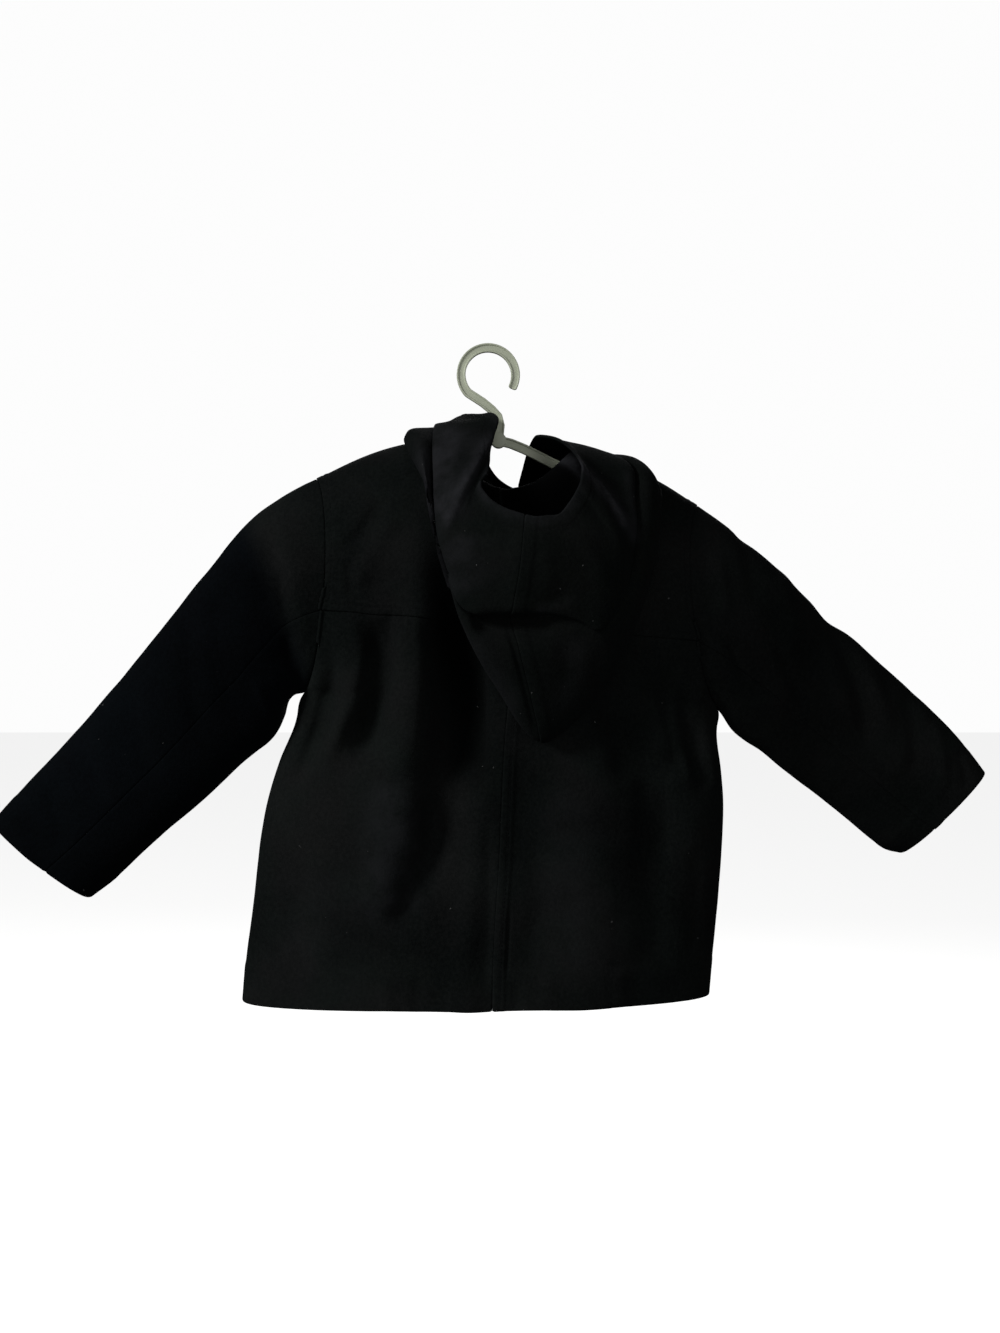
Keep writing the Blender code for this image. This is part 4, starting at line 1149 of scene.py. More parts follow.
def steps_of(lines):
    """How far each point lies from the one before it."""
    return np.linalg.norm(np.diff(lines, axis=0), axis=2)


def divide(grid, axis, cuts):
    """More points along one axis of a grid; cuts says how many for each stretch."""
    lines = np.moveaxis(grid, axis, 0)
    knots = starts(steps_of(lines).mean(axis=1))
    slopes = np.gradient(lines, knots, axis=0)
    rows = []
    for i, count in enumerate(cuts):
        ends = (lines[i], lines[i + 1], slopes[i], slopes[i + 1])
        rows += [between(k / count, knots[i + 1] - knots[i], *ends) for k in range(count)]
    rows.append(lines[-1])
    return np.moveaxis(np.array(rows), 0, axis)


def cuts_along(grid, axis, seams=()):
    """How many divisions each stretch needs, with more beside the seams."""
    steps = steps_of(np.moveaxis(grid, axis, 0)).mean(axis=1) * 1000
    counts = np.maximum(np.round(steps / FINE), 1)
    for seam in seams:
        for k in (seam - 1, seam):
            if 0 <= k < len(counts):
                counts[k] = round(counts[k] * SEAM_FINER)
    return counts.astype(int)


def starts(cuts):
    """The running total of some steps, from 0: where each old line is after a division."""
    return np.concatenate([[0], np.cumsum(cuts)])


def reach_along(lines):
    """How far along each line its points lie."""
    steps = steps_of(lines)
    return np.concatenate([np.zeros((1, steps.shape[1])), np.cumsum(steps, axis=0)])


def point_normals(grid):
    """A smooth outward normal for every point of a grid."""
    along = np.gradient(grid, axis=0)
    across = np.gradient(grid, axis=1)
    normal = np.cross(across, along)
    length = np.linalg.norm(normal, axis=2, keepdims=True)
    return normal / np.maximum(length, 1e-12)


print("points every", FINE, "mm")

# %% [markdown]
# ## Creases
#
# Between the large folds the wool keeps smaller ones: sharp-sided ones run from the
# underarms, tucks gather below the yoke, a dent sits beside the armhole, and the sleeves
# break at the elbow. A cloth simulation could find such folds, but not these ones. So each
# is listed: a line through three places, a width to either side, a height in
# millimetres. No two are alike, as in the cloth. A slow noise then takes off the last evenness.

# %% Creases seen from behind
CREASE_NAMES = "top_x top_z middle_x middle_z low_x low_z left right height"
BACK_CREASES = table(CREASE_NAMES, [
    (-147, 322, -153, 252, -180, 200, 7, 4, -4.4),
    (-139, 344, -121, 290, -168, 212, 5, 10, 3.0),
    (-97, 349, -103, 280, -122, 208, 15, 8, -6.0),
    (-80, 352, -71, 292, -88, 185, 15, 8, 3.2),
    (-68, 432, -64, 300, -68, 190, 18, 14, 6.0),
    (-22, 436, -22, 300, -14, 180, 34, 12, -14.0),
    (-36, 200, -35, 134, -48, 50, 22, 15, -6.0),
    (-90, 200, -82, 136, -112, 66, 20, 15, 9.0),
    (-82, 351, -82, 343, -81, 330, 2.2, 2.0, -1.0),
    (-76, 351, -75, 341, -77, 322, 2.4, 2.2, -1.3),
    (-93, 351, -94, 340, -97, 327, 2.6, 2.4, -1.1),
    (-132, 396, -130, 378, -128, 362, 4, 6, -2.6),
    (-116, 478, -122, 400, -126, 300, 24, 48, 6.0),
    (-88, 438, -108, 402, -127, 366, 9, 8, 2.2),
    (-98, 452, -117, 424, -134, 404, 6, 8, -2.2),
    (-136, 452, -140, 430, -137, 404, 5, 4, 1.2),
    (-10, 176, -7, 86, -13, 8, 18, 6, -5.0),
    (11, 92, 10, 60, 8, 24, 1.6, 1.5, -1.1),
    (86, 300, 107, 250, 118, 190, 14, 16, -6.0),
    (134, 312, 146, 262, 150, 200, 10, 8, 1.8),
    (167, 300, 178, 232, 192, 188, 7, 8, -5.0),
    (158, 322, 171, 280, 183, 236, 5, 6, 2.0),
    (146, 300, 157, 246, 166, 196, 22, 8, -7.0),
    (152, 442, 160, 412, 150, 376, 7, 9, -1.6),
    (126, 452, 140, 420, 147, 384, 8, 7, 1.6),
    (104, 350, 118, 342, 133, 333, 5, 4, -1.3),
    (132, 150, 141, 88, 140, 20, 17, 14, -3.0),
    (34, 170, 36, 96, 30, 20, 10, 16, -2.2),
    (178, 140, 180, 90, 176, 30, 9, 8, -1.4),
    (-170, 150, -178, 100, -186, 40, 14, 12, -2.4),
    (-140, 110, -150, 64, -156, 24, 12, 16, 1.6),
    (-96, 30, -96, 16, -97, -4, 6, 7, 1.4),
    (-68, 34, -70, 16, -70, -4, 5, 6, -1.4),
    (-38, 28, -39, 14, -38, -4, 5, 5, 1.3),
    (16, 26, 17, 12, 17, -4, 5, 6, -1.2),
    (43, 30, 44, 14, 43, -4, 6, 6, 1.2),
    (108, 34, 110, 16, 110, -4, 8, 7, 1.3),
])
print("creases of the back:", len(BACK_CREASES["height"]))

# %% Creases of the fronts, which the photograph hides
FRONT_CREASES = table(CREASE_NAMES, [
    (-150, 318, -159, 250, -184, 196, 5, 5, -3.0),
    (-134, 340, -125, 282, -150, 200, 7, 9, 2.4),
    (-108, 330, -110, 250, -122, 150, 8, 9, -2.6),
    (-128, 430, -134, 396, -126, 356, 6, 8, -1.8),
    (-96, 420, -112, 386, -128, 352, 8, 7, 1.6),
    (-120, 160, -132, 96, -142, 24, 14, 16, 2.2),
    (-92, 120, -96, 70, -98, 12, 9, 11, -2.0),
    (108, 340, 112, 268, 126, 170, 9, 7, -2.4),
    (150, 330, 156, 270, 170, 206, 7, 8, 2.2),
    (168, 300, 177, 240, 190, 190, 5, 6, -2.8),
    (128, 440, 142, 406, 150, 366, 7, 8, 1.7),
    (118, 410, 132, 380, 140, 350, 6, 6, -1.6),
    (132, 150, 140, 84, 138, 14, 15, 12, -2.4),
    (160, 130, 165, 76, 166, 20, 12, 9, 1.4),
    (-66, 34, -67, 16, -66, -4, 6, 5, 1.1),
    (88, 32, 88, 15, 89, -4, 6, 7, -1.2),
    (124, 30, 125, 14, 124, -4, 6, 5, 1.1),
])
print("creases of the fronts:", len(FRONT_CREASES["height"]))

# %% Creases of the sleeves
SLEEVE_CREASES = table(CREASE_NAMES, [
    (-206, 428, -190, 352, -175, 284, 24, 9, -8.0),
    (-186, 404, -190, 372, -184, 342, 5, 5, -1.6),
    (-252, 384, -262, 320, -246, 250, 14, 12, 2.4),
    (-276, 366, -270, 296, -262, 232, 8, 13, -2.8),
    (-187, 330, -182, 304, -173, 276, 4, 5, -2.2),
    (-214, 292, -206, 268, -196, 252, 5, 6, 1.6),
    (-330, 300, -316, 240, -300, 196, 12, 9, -2.0),
    (-352, 262, -344, 214, -330, 170, 9, 12, 1.8),
    (-396, 206, -386, 168, -380, 136, 8, 10, -1.6),
    (-428, 182, -418, 150, -404, 118, 9, 8, 1.3),
    (222, 436, 232, 396, 236, 350, 8, 10, -1.9),
    (196, 410, 204, 376, 206, 338, 7, 7, 1.7),
    (262, 396, 272, 350, 268, 300, 12, 9, 1.9),
    (294, 362, 336, 300, 354, 216, 9, 13, -3.8),
    (318, 354, 356, 296, 380, 226, 9, 10, 2.6),
    (256, 322, 268, 296, 286, 268, 5, 6, -2.0),
    (208, 326, 218, 306, 232, 286, 4, 5, -2.0),
    (392, 282, 404, 236, 402, 188, 9, 12, -2.2),
    (424, 250, 434, 214, 434, 178, 8, 7, 1.6),
    (452, 222, 458, 200, 460, 176, 5, 6, -1.2),
])
print("creases of the sleeves:", len(SLEEVE_CREASES["height"]))

# %% Creases of the hood
HOOD_CREASES = table(CREASE_NAMES, [
    (1, 518, -21, 468, -48, 408, 8, 3, 3.6),
    (6, 498, -12, 458, -40, 406, 3, 8, -1.4),
    (40, 502, 86, 462, 120, 404, 3, 5, 3.4),
    (36, 484, 74, 448, 104, 400, 7, 3, -1.4),
    (111, 478, 118, 440, 120, 404, 4, 4, 1.6),
    (-28, 450, -34, 420, -30, 392, 8, 9, -1.6),
    (-30, 360, -6, 354, 14, 352, 5, 4, -1.2),
    (26, 352, 46, 356, 66, 364, 5, 5, -1.4),
    (60, 420, 82, 396, 92, 368, 9, 8, 1.4),
    (40, 402, 44, 384, 42, 366, 6, 6, 1.0),
    (-22, 336, -8, 308, 12, 272, 6, 7, 1.6),
    (56, 334, 60, 304, 50, 268, 8, 7, -1.5),
    (84, 338, 82, 318, 72, 292, 6, 6, 1.2),
    (-62, 500, -60, 470, -56, 440, 7, 9, -1.3),
    (116, 384, 104, 346, 88, 314, 6, 4, 1.8),
    (7, 342, 24, 281, 33, 240, 2, 8, -2.4),
    (-24, 340, 8, 341, 56, 339, 10, 3, -9.0),
    (-26, 353, 8, 352, 50, 350, 4, 8, 1.6),
    (24, 424, 21, 388, 14, 350, 10, 32, 4.0),
])
print("creases of the hood:", len(HOOD_CREASES["height"]))

# %% Where pale fluff and painted light lie, and where shade is painted
BACK_PAINTED_LIGHT = table(CREASE_NAMES, [     # as the creases, but height says how much painted light there is
    (-92, 214, -88, 140, -108, 60, 28, 24, 0.42),
    (-150, 130, -158, 70, -160, -10, 44, 30, 0.12),
    (44, 200, 66, 120, 70, 0, 30, 44, 0.14),
])
# partly pale fluff, partly painted light: the hood's left side and lower parts are lightened as
# lit, and its ridges carry fluff and a painted highlight
HOOD_FLUFF_AND_LIGHT = table(CREASE_NAMES, [
    (1, 518, -21, 468, -48, 408, 7, 4, 0.9),
    (40, 502, 86, 462, 120, 404, 5, 7, 1.3),
    (-36, 526, -48, 474, -50, 410, 26, 20, 0.75),
    (-36, 420, -34, 390, -24, 356, 22, 24, 0.35),
    (114, 480, 120, 440, 120, 400, 3, 4, 0.40),
    (-56, 400, -40, 350, -14, 300, 5, 4, 0.45),
    (30, 350, 46, 352, 66, 360, 4, 3, 0.30),
    (-30, 330, -6, 292, 22, 244, 16, 14, 0.22),
    (76, 330, 64, 292, 42, 252, 16, 16, 0.16),
])
# along the rim: pale fluff and a painted highlight
RIM_FLUFF_AND_HIGHLIGHT, RIM_FLUFF_AND_HIGHLIGHT_WIDE = 0.45, 0.007       # how much lies along the rim, and how far in
BACK_PAINTED_SHADE = table(CREASE_NAMES, [     # where shade is painted: a darker colour beside the hood and on two folds
    (-44, 452, -32, 300, -20, 176, 24, 24, 1.0),
    (-108, 352, -106, 300, -124, 224, 14, 12, 0.35),
    (112, 350, 100, 290, 84, 226, 26, 30, 0.35),
])
print("dusty places of the hood:", len(HOOD_FLUFF_AND_LIGHT["height"]))

# %% How a crease pushes the cloth
CREASE_POINTS = 17          # places at which a crease's line is worked out
CREASE_FADE = 0.22          # share of its length over which each end fades out
NOISE_WAVES = ((11.0, 0.9), (27.0, 0.42), (61.0, 0.16))     # waves in a metre, millimetres


def bent_line(top, middle, low):
    """An even curve through three places."""
    t = np.linspace(0, 1, CREASE_POINTS)[:, None]
    bow = middle - (top + low) / 2
    return top + (low - top) * t + bow * 4 * t * (1 - t)


def from_line(places, line):
    """For each place, its distance from a line, its side (right of it is above 0) and how
    far down the line it lies."""
    best = np.full(places.shape[:2], np.inf)
    side, share = np.zeros_like(best), np.zeros_like(best)
    for k in range(len(line) - 1):
        step = line[k + 1] - line[k]
        t = np.clip(((places - line[k]) @ step) / (step @ step), 0, 1)
        away = places - line[k] - t[..., None] * step
        distance = np.hypot(away[..., 0], away[..., 1])
        nearer = distance < best
        best = np.where(nearer, distance, best)
        side = np.where(nearer, step[0] * away[..., 1] - step[1] * away[..., 0], side)
        share = np.where(nearer, (k + t) / (len(line) - 1), share)
    return best, side, share


def crease_height(grid, creases):
    """How far all the creases of a table push each point of a grid out, in metres."""
    total = np.zeros(grid.shape[:2])
    places = grid[..., (0, 2)]
    for k, height in enumerate(creases["height"]):
        top, middle, low = three_places(creases, k)
        distance, side, share = from_line(places, bent_line(top, middle, low))
        width = MM * np.where(side > 0, creases["right"][k], creases["left"][k])
        fade = smooth(share / CREASE_FADE) * smooth((1 - share) / CREASE_FADE)
        total += MM * height * fade * np.exp(-((distance / width) ** 2))
    return total


def unevenness(grid):
    """A slow noise over the whole coat, in metres."""
    total = np.zeros(grid.shape[:2])
    for waves, height in NOISE_WAVES:
        total += MM * height * np.array(
            [[noise.noise(Vector(point) * waves) for point in row] for row in grid]
        )
    return total


print("a crease has", CREASE_POINTS - 1, "straight bits")

# %% How far a point lies from an edge of its piece
FIRST_ROW, LAST_ROW, FIRST_COLUMN, LAST_COLUMN = range(4)


def from_edge(values, edge):
    """The lines of a grid in order, the one at the edge first."""
    return np.moveaxis(values, edge // 2, 0)[:: 1 - 2 * (edge % 2)]


def reach_from(grid, edge):
    """The distance of every point from one edge of its grid, along the cloth."""
    reach = reach_along(from_edge(grid, edge))
    return np.moveaxis(reach[:: 1 - 2 * (edge % 2)], 0, edge // 2)


CALM = 0.012                # beside a kept edge, creases fade out over this distance
FACING_FROM, FACING_FADE = 0.1, 0.5     # and where the cloth turns away from the side seen


def creased(grid, creases, facing, kept, still=()):
    """The grid with its creases. facing is -1 for creases seen from behind and 1 for those
    seen from the front, or 0 for both. The kept edges stay where they are, and so does the
    cloth at the still places."""
    lean = point_normals(grid)
    share = np.ones(grid.shape[:2])
    if facing:
        share = smooth((facing * lean[..., 1] - FACING_FROM) / FACING_FADE)
    height = crease_height(grid, creases) * share + unevenness(grid)
    for edge in kept:
        height = height * smooth(reach_from(grid, edge) / CALM)
    for place in still:
        away = np.linalg.norm(grid - place, axis=2)
        height = height * smooth((away - BUTTON_RADIUS) / CALM)
    print("  deepest crease", round(height.min() * 1000, 1), "mm, highest",
          round(height.max() * 1000, 1), "mm")
    return grid + lean * height[..., None]

# %% [markdown]
# ## Pressed seams and turned hems
#
# At a seam both layers' edges are turned to one side and pressed, so one side stands a
# little proud, and on the armholes, the yoke and the back seam a row of stitches holds it
# down in a shallow groove. At the hems the cloth is turned up. Each edge of a piece names
# its treatment, and a treatment is a height that depends on the distance from the edge.

# %% The treatments of an edge
PRESSED_HIGH, PRESSED_WIDE = 0.0009, 0.0085     # a seam's turnings, pressed to this side
STITCH_IN = 0.0070          # the stitches run this far from a pressed edge
RIM_STITCH_IN = 0.0120      # and this far from the hood's rim
GROOVE_DEEP, GROOVE_WIDE = 0.0005, 0.0013
PRESSED_FADE, HEM_FADE = 0.004, 0.006
HEM_HIGH = 0.0005           # where the cloth is turned up inside
HEM_TALL = 0.030
CUFF_TALL = 0.026


def raised(high, reach, wide, fade):
    """As high as given up to the width, and level with the cloth beyond the fade."""
    return high * (1 - smooth((reach - wide) / fade))


def groove(reach, at):
    """A shallow groove at one distance from an edge."""
    return -GROOVE_DEEP * np.exp(-(((reach - at) / GROOVE_WIDE) ** 2))


def treated(grid, treatments):
    """The grid with its pressed seams, hems and grooves."""
    lean = point_normals(grid)
    height = np.zeros(grid.shape[:2])
    for edge, kind in enumerate(treatments):
        if kind in ("plain", "joined"):
            continue
        reach = reach_from(grid, edge)
        if kind in ("pressed", "stitched"):
            height += raised(PRESSED_HIGH, reach, PRESSED_WIDE, PRESSED_FADE)
        if kind == "stitched":
            height += groove(reach, STITCH_IN)
        if kind == "rim":
            height += raised(HEM_HIGH, reach, RIM_STITCH_IN, PRESSED_FADE)
            height += groove(reach, RIM_STITCH_IN)
        if kind in ("hem", "cuff"):
            tall = HEM_TALL if kind == "hem" else CUFF_TALL
            height += raised(HEM_HIGH, reach, tall, HEM_FADE)
    return grid + lean * height[..., None]


print("a pressed edge stands", PRESSED_HIGH * 1000, "mm proud")

# %% Stitches as thread in the groove
STITCH_LONG, STITCH_STEP = 0.0026, 0.0038
THREAD_THICK = 0.00055
STITCH_SIDES = 6
STITCH_PROFILE = ((-0.5, 0.35), (-0.3, 0.9), (0.0, 1.0), (0.3, 0.9), (0.5, 0.35))
STITCH_FULL, STITCH_SINK = 0.9, 0.5     # where it is thinner than this share, it sinks in
stitch_points, stitch_faces = [], []


def add_stitches(grid, edge, at):
    """A row of stitches at one distance from an edge of a grid."""
    lines, leans = from_edge(grid, edge), from_edge(point_normals(grid), edge)
    reaches = reach_along(lines)
    places, normals = [], []
    for j in range(lines.shape[1]):
        i = int(np.clip(np.searchsorted(reaches[:, j], at), 1, len(lines) - 1))
        span = max(reaches[i, j] - reaches[i - 1, j], 1e-9)
        t = (at - reaches[i - 1, j]) / span
        places.append(lines[i - 1, j] * (1 - t) + lines[i, j] * t)
        normals.append(leans[i - 1, j] * (1 - t) + leans[i, j] * t)
    places, normals = np.array(places), np.array(normals)
    along = starts(np.linalg.norm(np.diff(places, axis=0), axis=1))
    marks = np.arange(STITCH_IN + STITCH_STEP, along[-1] - STITCH_IN, STITCH_STEP)
    centre, tip, up = (
        np.stack([np.interp(wanted, along, values[:, c]) for c in range(3)], axis=1)
        for wanted, values in ((marks, places), (marks + STITCH_LONG / 2, places), (marks, normals))
    )
    forward = tip - centre
    forward /= np.linalg.norm(forward, axis=1, keepdims=True)
    side = np.cross(up, forward)
    side /= np.linalg.norm(side, axis=1, keepdims=True)
    up = np.cross(forward, side)
    turns = 2 * math.pi * np.arange(STITCH_SIDES) / STITCH_SIDES
    for c, f, s, u in zip(centre, forward, side, up):
        first = len(stitch_points)
        for place, size in STITCH_PROFILE:
            for turn in turns:
                across = (s * math.cos(turn) + u * math.sin(turn)) * size * THREAD_THICK / 2
                sunk = u * THREAD_THICK * (size - STITCH_FULL) * STITCH_SINK
                stitch_points.append(c + f * place * STITCH_LONG + across + sunk)
        stitch_faces.extend(tube_faces(len(STITCH_PROFILE), STITCH_SIDES, first))


print("a stitch is", STITCH_LONG * 1000, "mm long")

# %% [markdown]
# ## From a grid to a sheet of cloth
#
# A wool edge is thick and soft, so each sheet gets an outer and an inner face joined by a
# rounded edge. Where two pieces are sewn, their round edges meet and leave the small ditch
# that shows as a seam line, with no need to draw it.

# %% A sheet with rounded edges
EDGE_STEPS = 4              # faces round the thickness of an edge
EDGE_SET_BACK = 0.45        # share of the thickness by which an edge is drawn back


def drawn_back(grid, amounts):
    """Moves the first and last rows and columns in along the cloth, and their neighbours
    with them, so that the spacing stays even."""
    out = grid.copy()
    for axis, (first, last) in ((0, amounts[:2]), (1, amounts[2:])):
        lines = np.moveaxis(out, axis, 0)
        for amount, order in ((first, 1), (last, -1)):
            view = lines[::order]
            if amount == 0 or len(view) < 4:
                continue
            reach = reach_along(view[:4])
            for k in range(3):
                share = np.clip(1 - reach[k] / np.maximum(reach[3], 1e-9), 0, 1)
                toward = view[k + 1] - view[k]
                toward /= np.maximum(np.linalg.norm(toward, axis=1, keepdims=True), 1e-9)
                view[k] += toward * (amount * share)[:, None]
    return out


def border(rows, columns):
    """The grid's border points in order, going round once."""
    loop = [(i, 0) for i in range(rows)]
    loop += [(rows - 1, j) for j in range(1, columns)]
    loop += [(i, columns - 1) for i in range(rows - 2, -1, -1)]
    loop += [(0, j) for j in range(columns - 2, 0, -1)]
    return loop


def sheet_mesh(name, grid, normals, thick, finish, inside_finish, marks):
    """A closed thin shell: the outer face, the inner one, and a rounded edge. marks are
    values that its points carry for the finish."""
    rows, columns = grid.shape[:2]
    count = rows * columns
    inner = grid - normals * thick
    loop = border(rows, columns)
    rim = np.array([grid[i, j] for i, j in loop])
    lean = np.array([normals[i, j] for i, j in loop])
    along = np.roll(rim, -1, axis=0) - np.roll(rim, 1, axis=0)
    out = np.cross(lean, along)
    out /= np.maximum(np.linalg.norm(out, axis=1, keepdims=True), 1e-12)
    inside = np.array([
        grid[min(max(i, 1), rows - 2), min(max(j, 1), columns - 2)] for i, j in loop
    ])
    if ((rim - inside) * out).sum() < 0:
        out = -out
    points = [grid.reshape(-1, 3), inner.reshape(-1, 3)]
    middle = rim - lean * thick / 2
    for k in range(1, EDGE_STEPS):
        turn = math.pi * k / EDGE_STEPS
        points.append(middle + (lean * math.cos(turn) + out * math.sin(turn)) * thick / 2)
    points = np.concatenate(points)
    index = np.arange(count).reshape(rows, columns)
    quads = np.stack(
        [index[:-1, :-1], index[:-1, 1:], index[1:, 1:], index[1:, :-1]], axis=-1
    ).reshape(-1, 4)
    faces = [quads, quads[:, ::-1] + count]
    ring = [np.array([index[i, j] for i, j in loop])]
    size = len(loop)
    ring += [2 * count + k * size + np.arange(size) for k in range(EDGE_STEPS - 1)]
    ring.append(ring[0] + count)
    for upper, lower in zip(ring[:-1], ring[1:]):
        faces.append(np.stack([upper, np.roll(upper, -1), np.roll(lower, -1), lower], axis=-1))
    faces = np.concatenate(faces).tolist()
    piece = add_mesh(name, (points + HUNG).tolist(), faces, finish, inside_finish)
    mesh = piece.data
    sides = np.zeros(len(mesh.polygons), dtype=np.int32)
    sides[len(quads): 2 * len(quads)] = 1       # the inner face has the inside finish
    mesh.polygons.foreach_set("material_index", sides)
    for mark, values in marks.items():
        at_rim = np.array([values[i, j] for i, j in loop])
        carried = np.concatenate([values.ravel()] * 2 + [at_rim] * (EDGE_STEPS - 1))
        held = mesh.attributes.new(mark, "FLOAT", "POINT").data
        held.foreach_set("value", carried.astype(np.float32))
    return piece


# %% [markdown]
# ## Where the coat hangs
#
# The tables measure from the hem, and the part's origin is the seat inside the hanger's
# hook. One shift takes everything there.

# %% From the tables to the hanging coat
HUNG = -hanger_plane(HOOK_X, HEM_TO_HOOK)
back = side_grid(False)
front = side_grid(True)[:, ::-1]
sleeves = {"left": sleeve_grid("left")[:, ::-1], "right": sleeve_grid("right")}
coat_tree = tree_of([back, front, sleeves["left"], sleeves["right"]])
hood = hood_grid(coat_tree)[:, ::-1]
print("shift to the hook:", np.round(HUNG, 4).tolist())
print("guide points:", sum(g[..., 0].size for g in (back, front, hood, *sleeves.values())))

# %% Putting a piece of cloth in its place
def add_cloth(node, grid, treatments, finish=WOOL, inside=WOOL, marks={}):
    """A sheet on the form of one solid. treatments says how its first row, last row, first
    column and last column are finished; marks are values that its points carry for the finish."""
    grid = treated(grid, treatments)
    for edge, kind in enumerate(treatments):
        if kind in ("stitched", "rim"):
            add_stitches(grid, edge, STITCH_IN if kind == "stitched" else RIM_STITCH_IN)
    sewn = ("joined", "pressed", "stitched")
    amounts = [WALL * EDGE_SET_BACK if kind in sewn else 0.0 for kind in treatments]
    grid = drawn_back(grid, amounts)
    piece = sheet_mesh(f"{node}_cloth", grid, point_normals(grid), WALL, finish, inside, marks)
    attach(piece, "root")
    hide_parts(node)

# %% [markdown]
# ## Backs and yoke
#
# The yoke lies over the tops of the lower backs, and the right back is pressed over the left
# one at the centre seam. The three are divided and creased as one grid, so that a fold can
# run on across a seam, and only then cut apart along the seams. A tailor has it the other
# way round. Beside the hood and on two folds a darker black is painted in as shade, and on
# the lower back a paler colour as painted light; each point carries how much of each it has.

# %% The three pieces of the back
back_row_cuts = cuts_along(back, 0, (BODY_ROWS + ARMHOLE_ROWS,))
back_column_cuts = cuts_along(back, 1, (0, COLUMNS // 2, COLUMNS))
fine_back = divide(divide(back, 0, back_row_cuts), 1, back_column_cuts)
fine_back = creased(fine_back, BACK_CREASES, -1, (LAST_ROW, FIRST_COLUMN, LAST_COLUMN))
# painted light on the lower back, and painted shade beside the hood and on two folds
dust_and_painted_light, flat = crease_height(fine_back, BACK_PAINTED_LIGHT) / MM, crease_height(fine_back, BACK_PAINTED_SHADE) / MM
back_row = starts(back_row_cuts)[BODY_ROWS + ARMHOLE_ROWS]
back_middle = starts(back_column_cuts)[COLUMNS // 2]
for node, part, left_edge, cut in (
    ("back_left", (slice(back_row + 1), slice(back_middle + 1)), "joined", (0.26, 0.36)),
    ("back_right", (slice(back_row + 1), slice(back_middle, None)), "stitched", (0.24, 0.36)),
):
    add_cloth(node, fine_back[part], ("hem", "joined", left_edge, "joined"),
              BACK_WOOL, marks={"dust_and_painted_light": dust_and_painted_light[part], "far": flat[part]})
add_cloth("yoke_back", fine_back[back_row:], ("stitched", "joined", "stitched", "stitched"),
          BACK_WOOL, marks={"far": flat[back_row:]})

# %% [markdown]
# ## Fronts
#
# The photograph shows nothing of the fronts, so they are a plain double-breasted pair: the
# left one laps over the right one, and softer creases than those behind run from the
# underarms.

# %% The two fronts
front_normals = shared_normals([back, front, sleeves["left"], sleeves["right"]])
under, over = overlapped(front, front_normals)


def button_seats(over):
    """The middle of each button's underside, and the direction it faces."""
    seats = []
    for column in BUTTON_COLUMNS:
        for height in BUTTON_HEIGHTS:
            heights = over[:, column, 2]
            i = int(np.searchsorted(heights, height)) - 1
            share = (height - heights[i]) / (heights[i + 1] - heights[i])
            place = over[i, column] * (1 - share) + over[i + 1, column] * share
            across = over[i, column - 1] - over[i, column + 1]
            normal = unit(np.cross(over[i + 1, column] - over[i, column], across))
            seats.append((place + normal * BUTTON_GAP, normal))
    return seats


seats = button_seats(over)
for node, grid, treatments, cut in (
    ("front_right", under, ("hem", "joined", "joined", "plain"), (0.30, 0.52)),
    ("front_left", over, ("hem", "joined", "rim", "joined"), (0.32, 0.54)),
):
    columns = grid.shape[1] - 1
    fine = divide(divide(grid, 0, cuts_along(grid, 0)), 1, cuts_along(grid, 1, (0, columns)))
    side = FIRST_COLUMN if node == "front_right" else LAST_COLUMN
    fine = creased(fine, FRONT_CREASES, 1, (LAST_ROW, side), [place for place, _ in seats])
    add_cloth(node, fine, treatments)

# %% [markdown]
# ## Sleeves
#
# Each sleeve has a wide top piece and a narrow under piece. Their seam runs down the back
# of the arm, where the photograph shows it. The cloth breaks at the elbow in soft folds that
# cross the arm, deeper on the inner side of the bend. Past a slanting line, a darker and bluer
# black is painted on the left sleeve as shade; each of its points carries how far past it lies.

# %% The sleeves
PAINTED_SHADE_LINE = ((-0.224, 0.433), (-0.163, 0.280))   # left of it a painted shade darkens the left sleeve
PAINTED_SHADE_WIDE = 0.028                                # and it changes over this distance


def beyond(grid, top, low):
    """How far each point lies to the left of a line that runs down, in metres."""
    along = unit(np.array(low) - np.array(top))
    away = grid[..., (0, 2)] - np.array(top)
    return along[1] * away[..., 0] - along[0] * away[..., 1]


for side, ring in sleeves.items():
    wrapped = np.concatenate([ring[:, -3:-1], ring, ring[:, 1:3]], axis=1)
    row_cuts, column_cuts = cuts_along(wrapped, 0, (0,)), cuts_along(wrapped, 1)
    fine = divide(divide(wrapped, 0, row_cuts), 1, column_cuts)
    fine = creased(fine, SLEEVE_CREASES, 0, (FIRST_ROW,))
    at = starts(column_cuts)[2:]
    low, high, end = at[YOKE_ROWS], at[YOKE_ROWS + 2 * ARMHOLE_ROWS], at[ring.shape[1] - 1]
    upper = np.concatenate([fine[:, high:end], fine[:, at[0]: low + 1]], axis=1)
    seam = "joined" if side == "left" else "pressed"
    for node, grid, treatments, cut in (
        ("under", fine[:, low: high + 1], ("joined", "cuff", "joined", "joined"), (0.16, 0.36)),
        ("top", upper, ("joined", "cuff", seam, seam), (0.28, 0.42)),
    ):
        # how much painted shade each point takes, by how far left of the line it lies
        far = smooth(beyond(grid, *PAINTED_SHADE_LINE) / PAINTED_SHADE_WIDE + 0.5)
        add_cloth(f"sleeve_{side}_{node}", grid, treatments, SLEEVE_WOOL,
                  marks={"far": far})

# %% [markdown]
# ## Hood
#
# The hood's two halves meet in a seam down its middle. Thrown back, it folds flat where it
# turns over, and the bag lies on top with its rim open. Two ridges run from the corners
# of the mouth down to the sides of the bag. Its wool is painted darker than the coat's as shade,
# and its inner face near black as the shade inside it. A paler colour lies on its ridges, its
# rim and its left side: partly pale fluff, partly painted light and highlight.

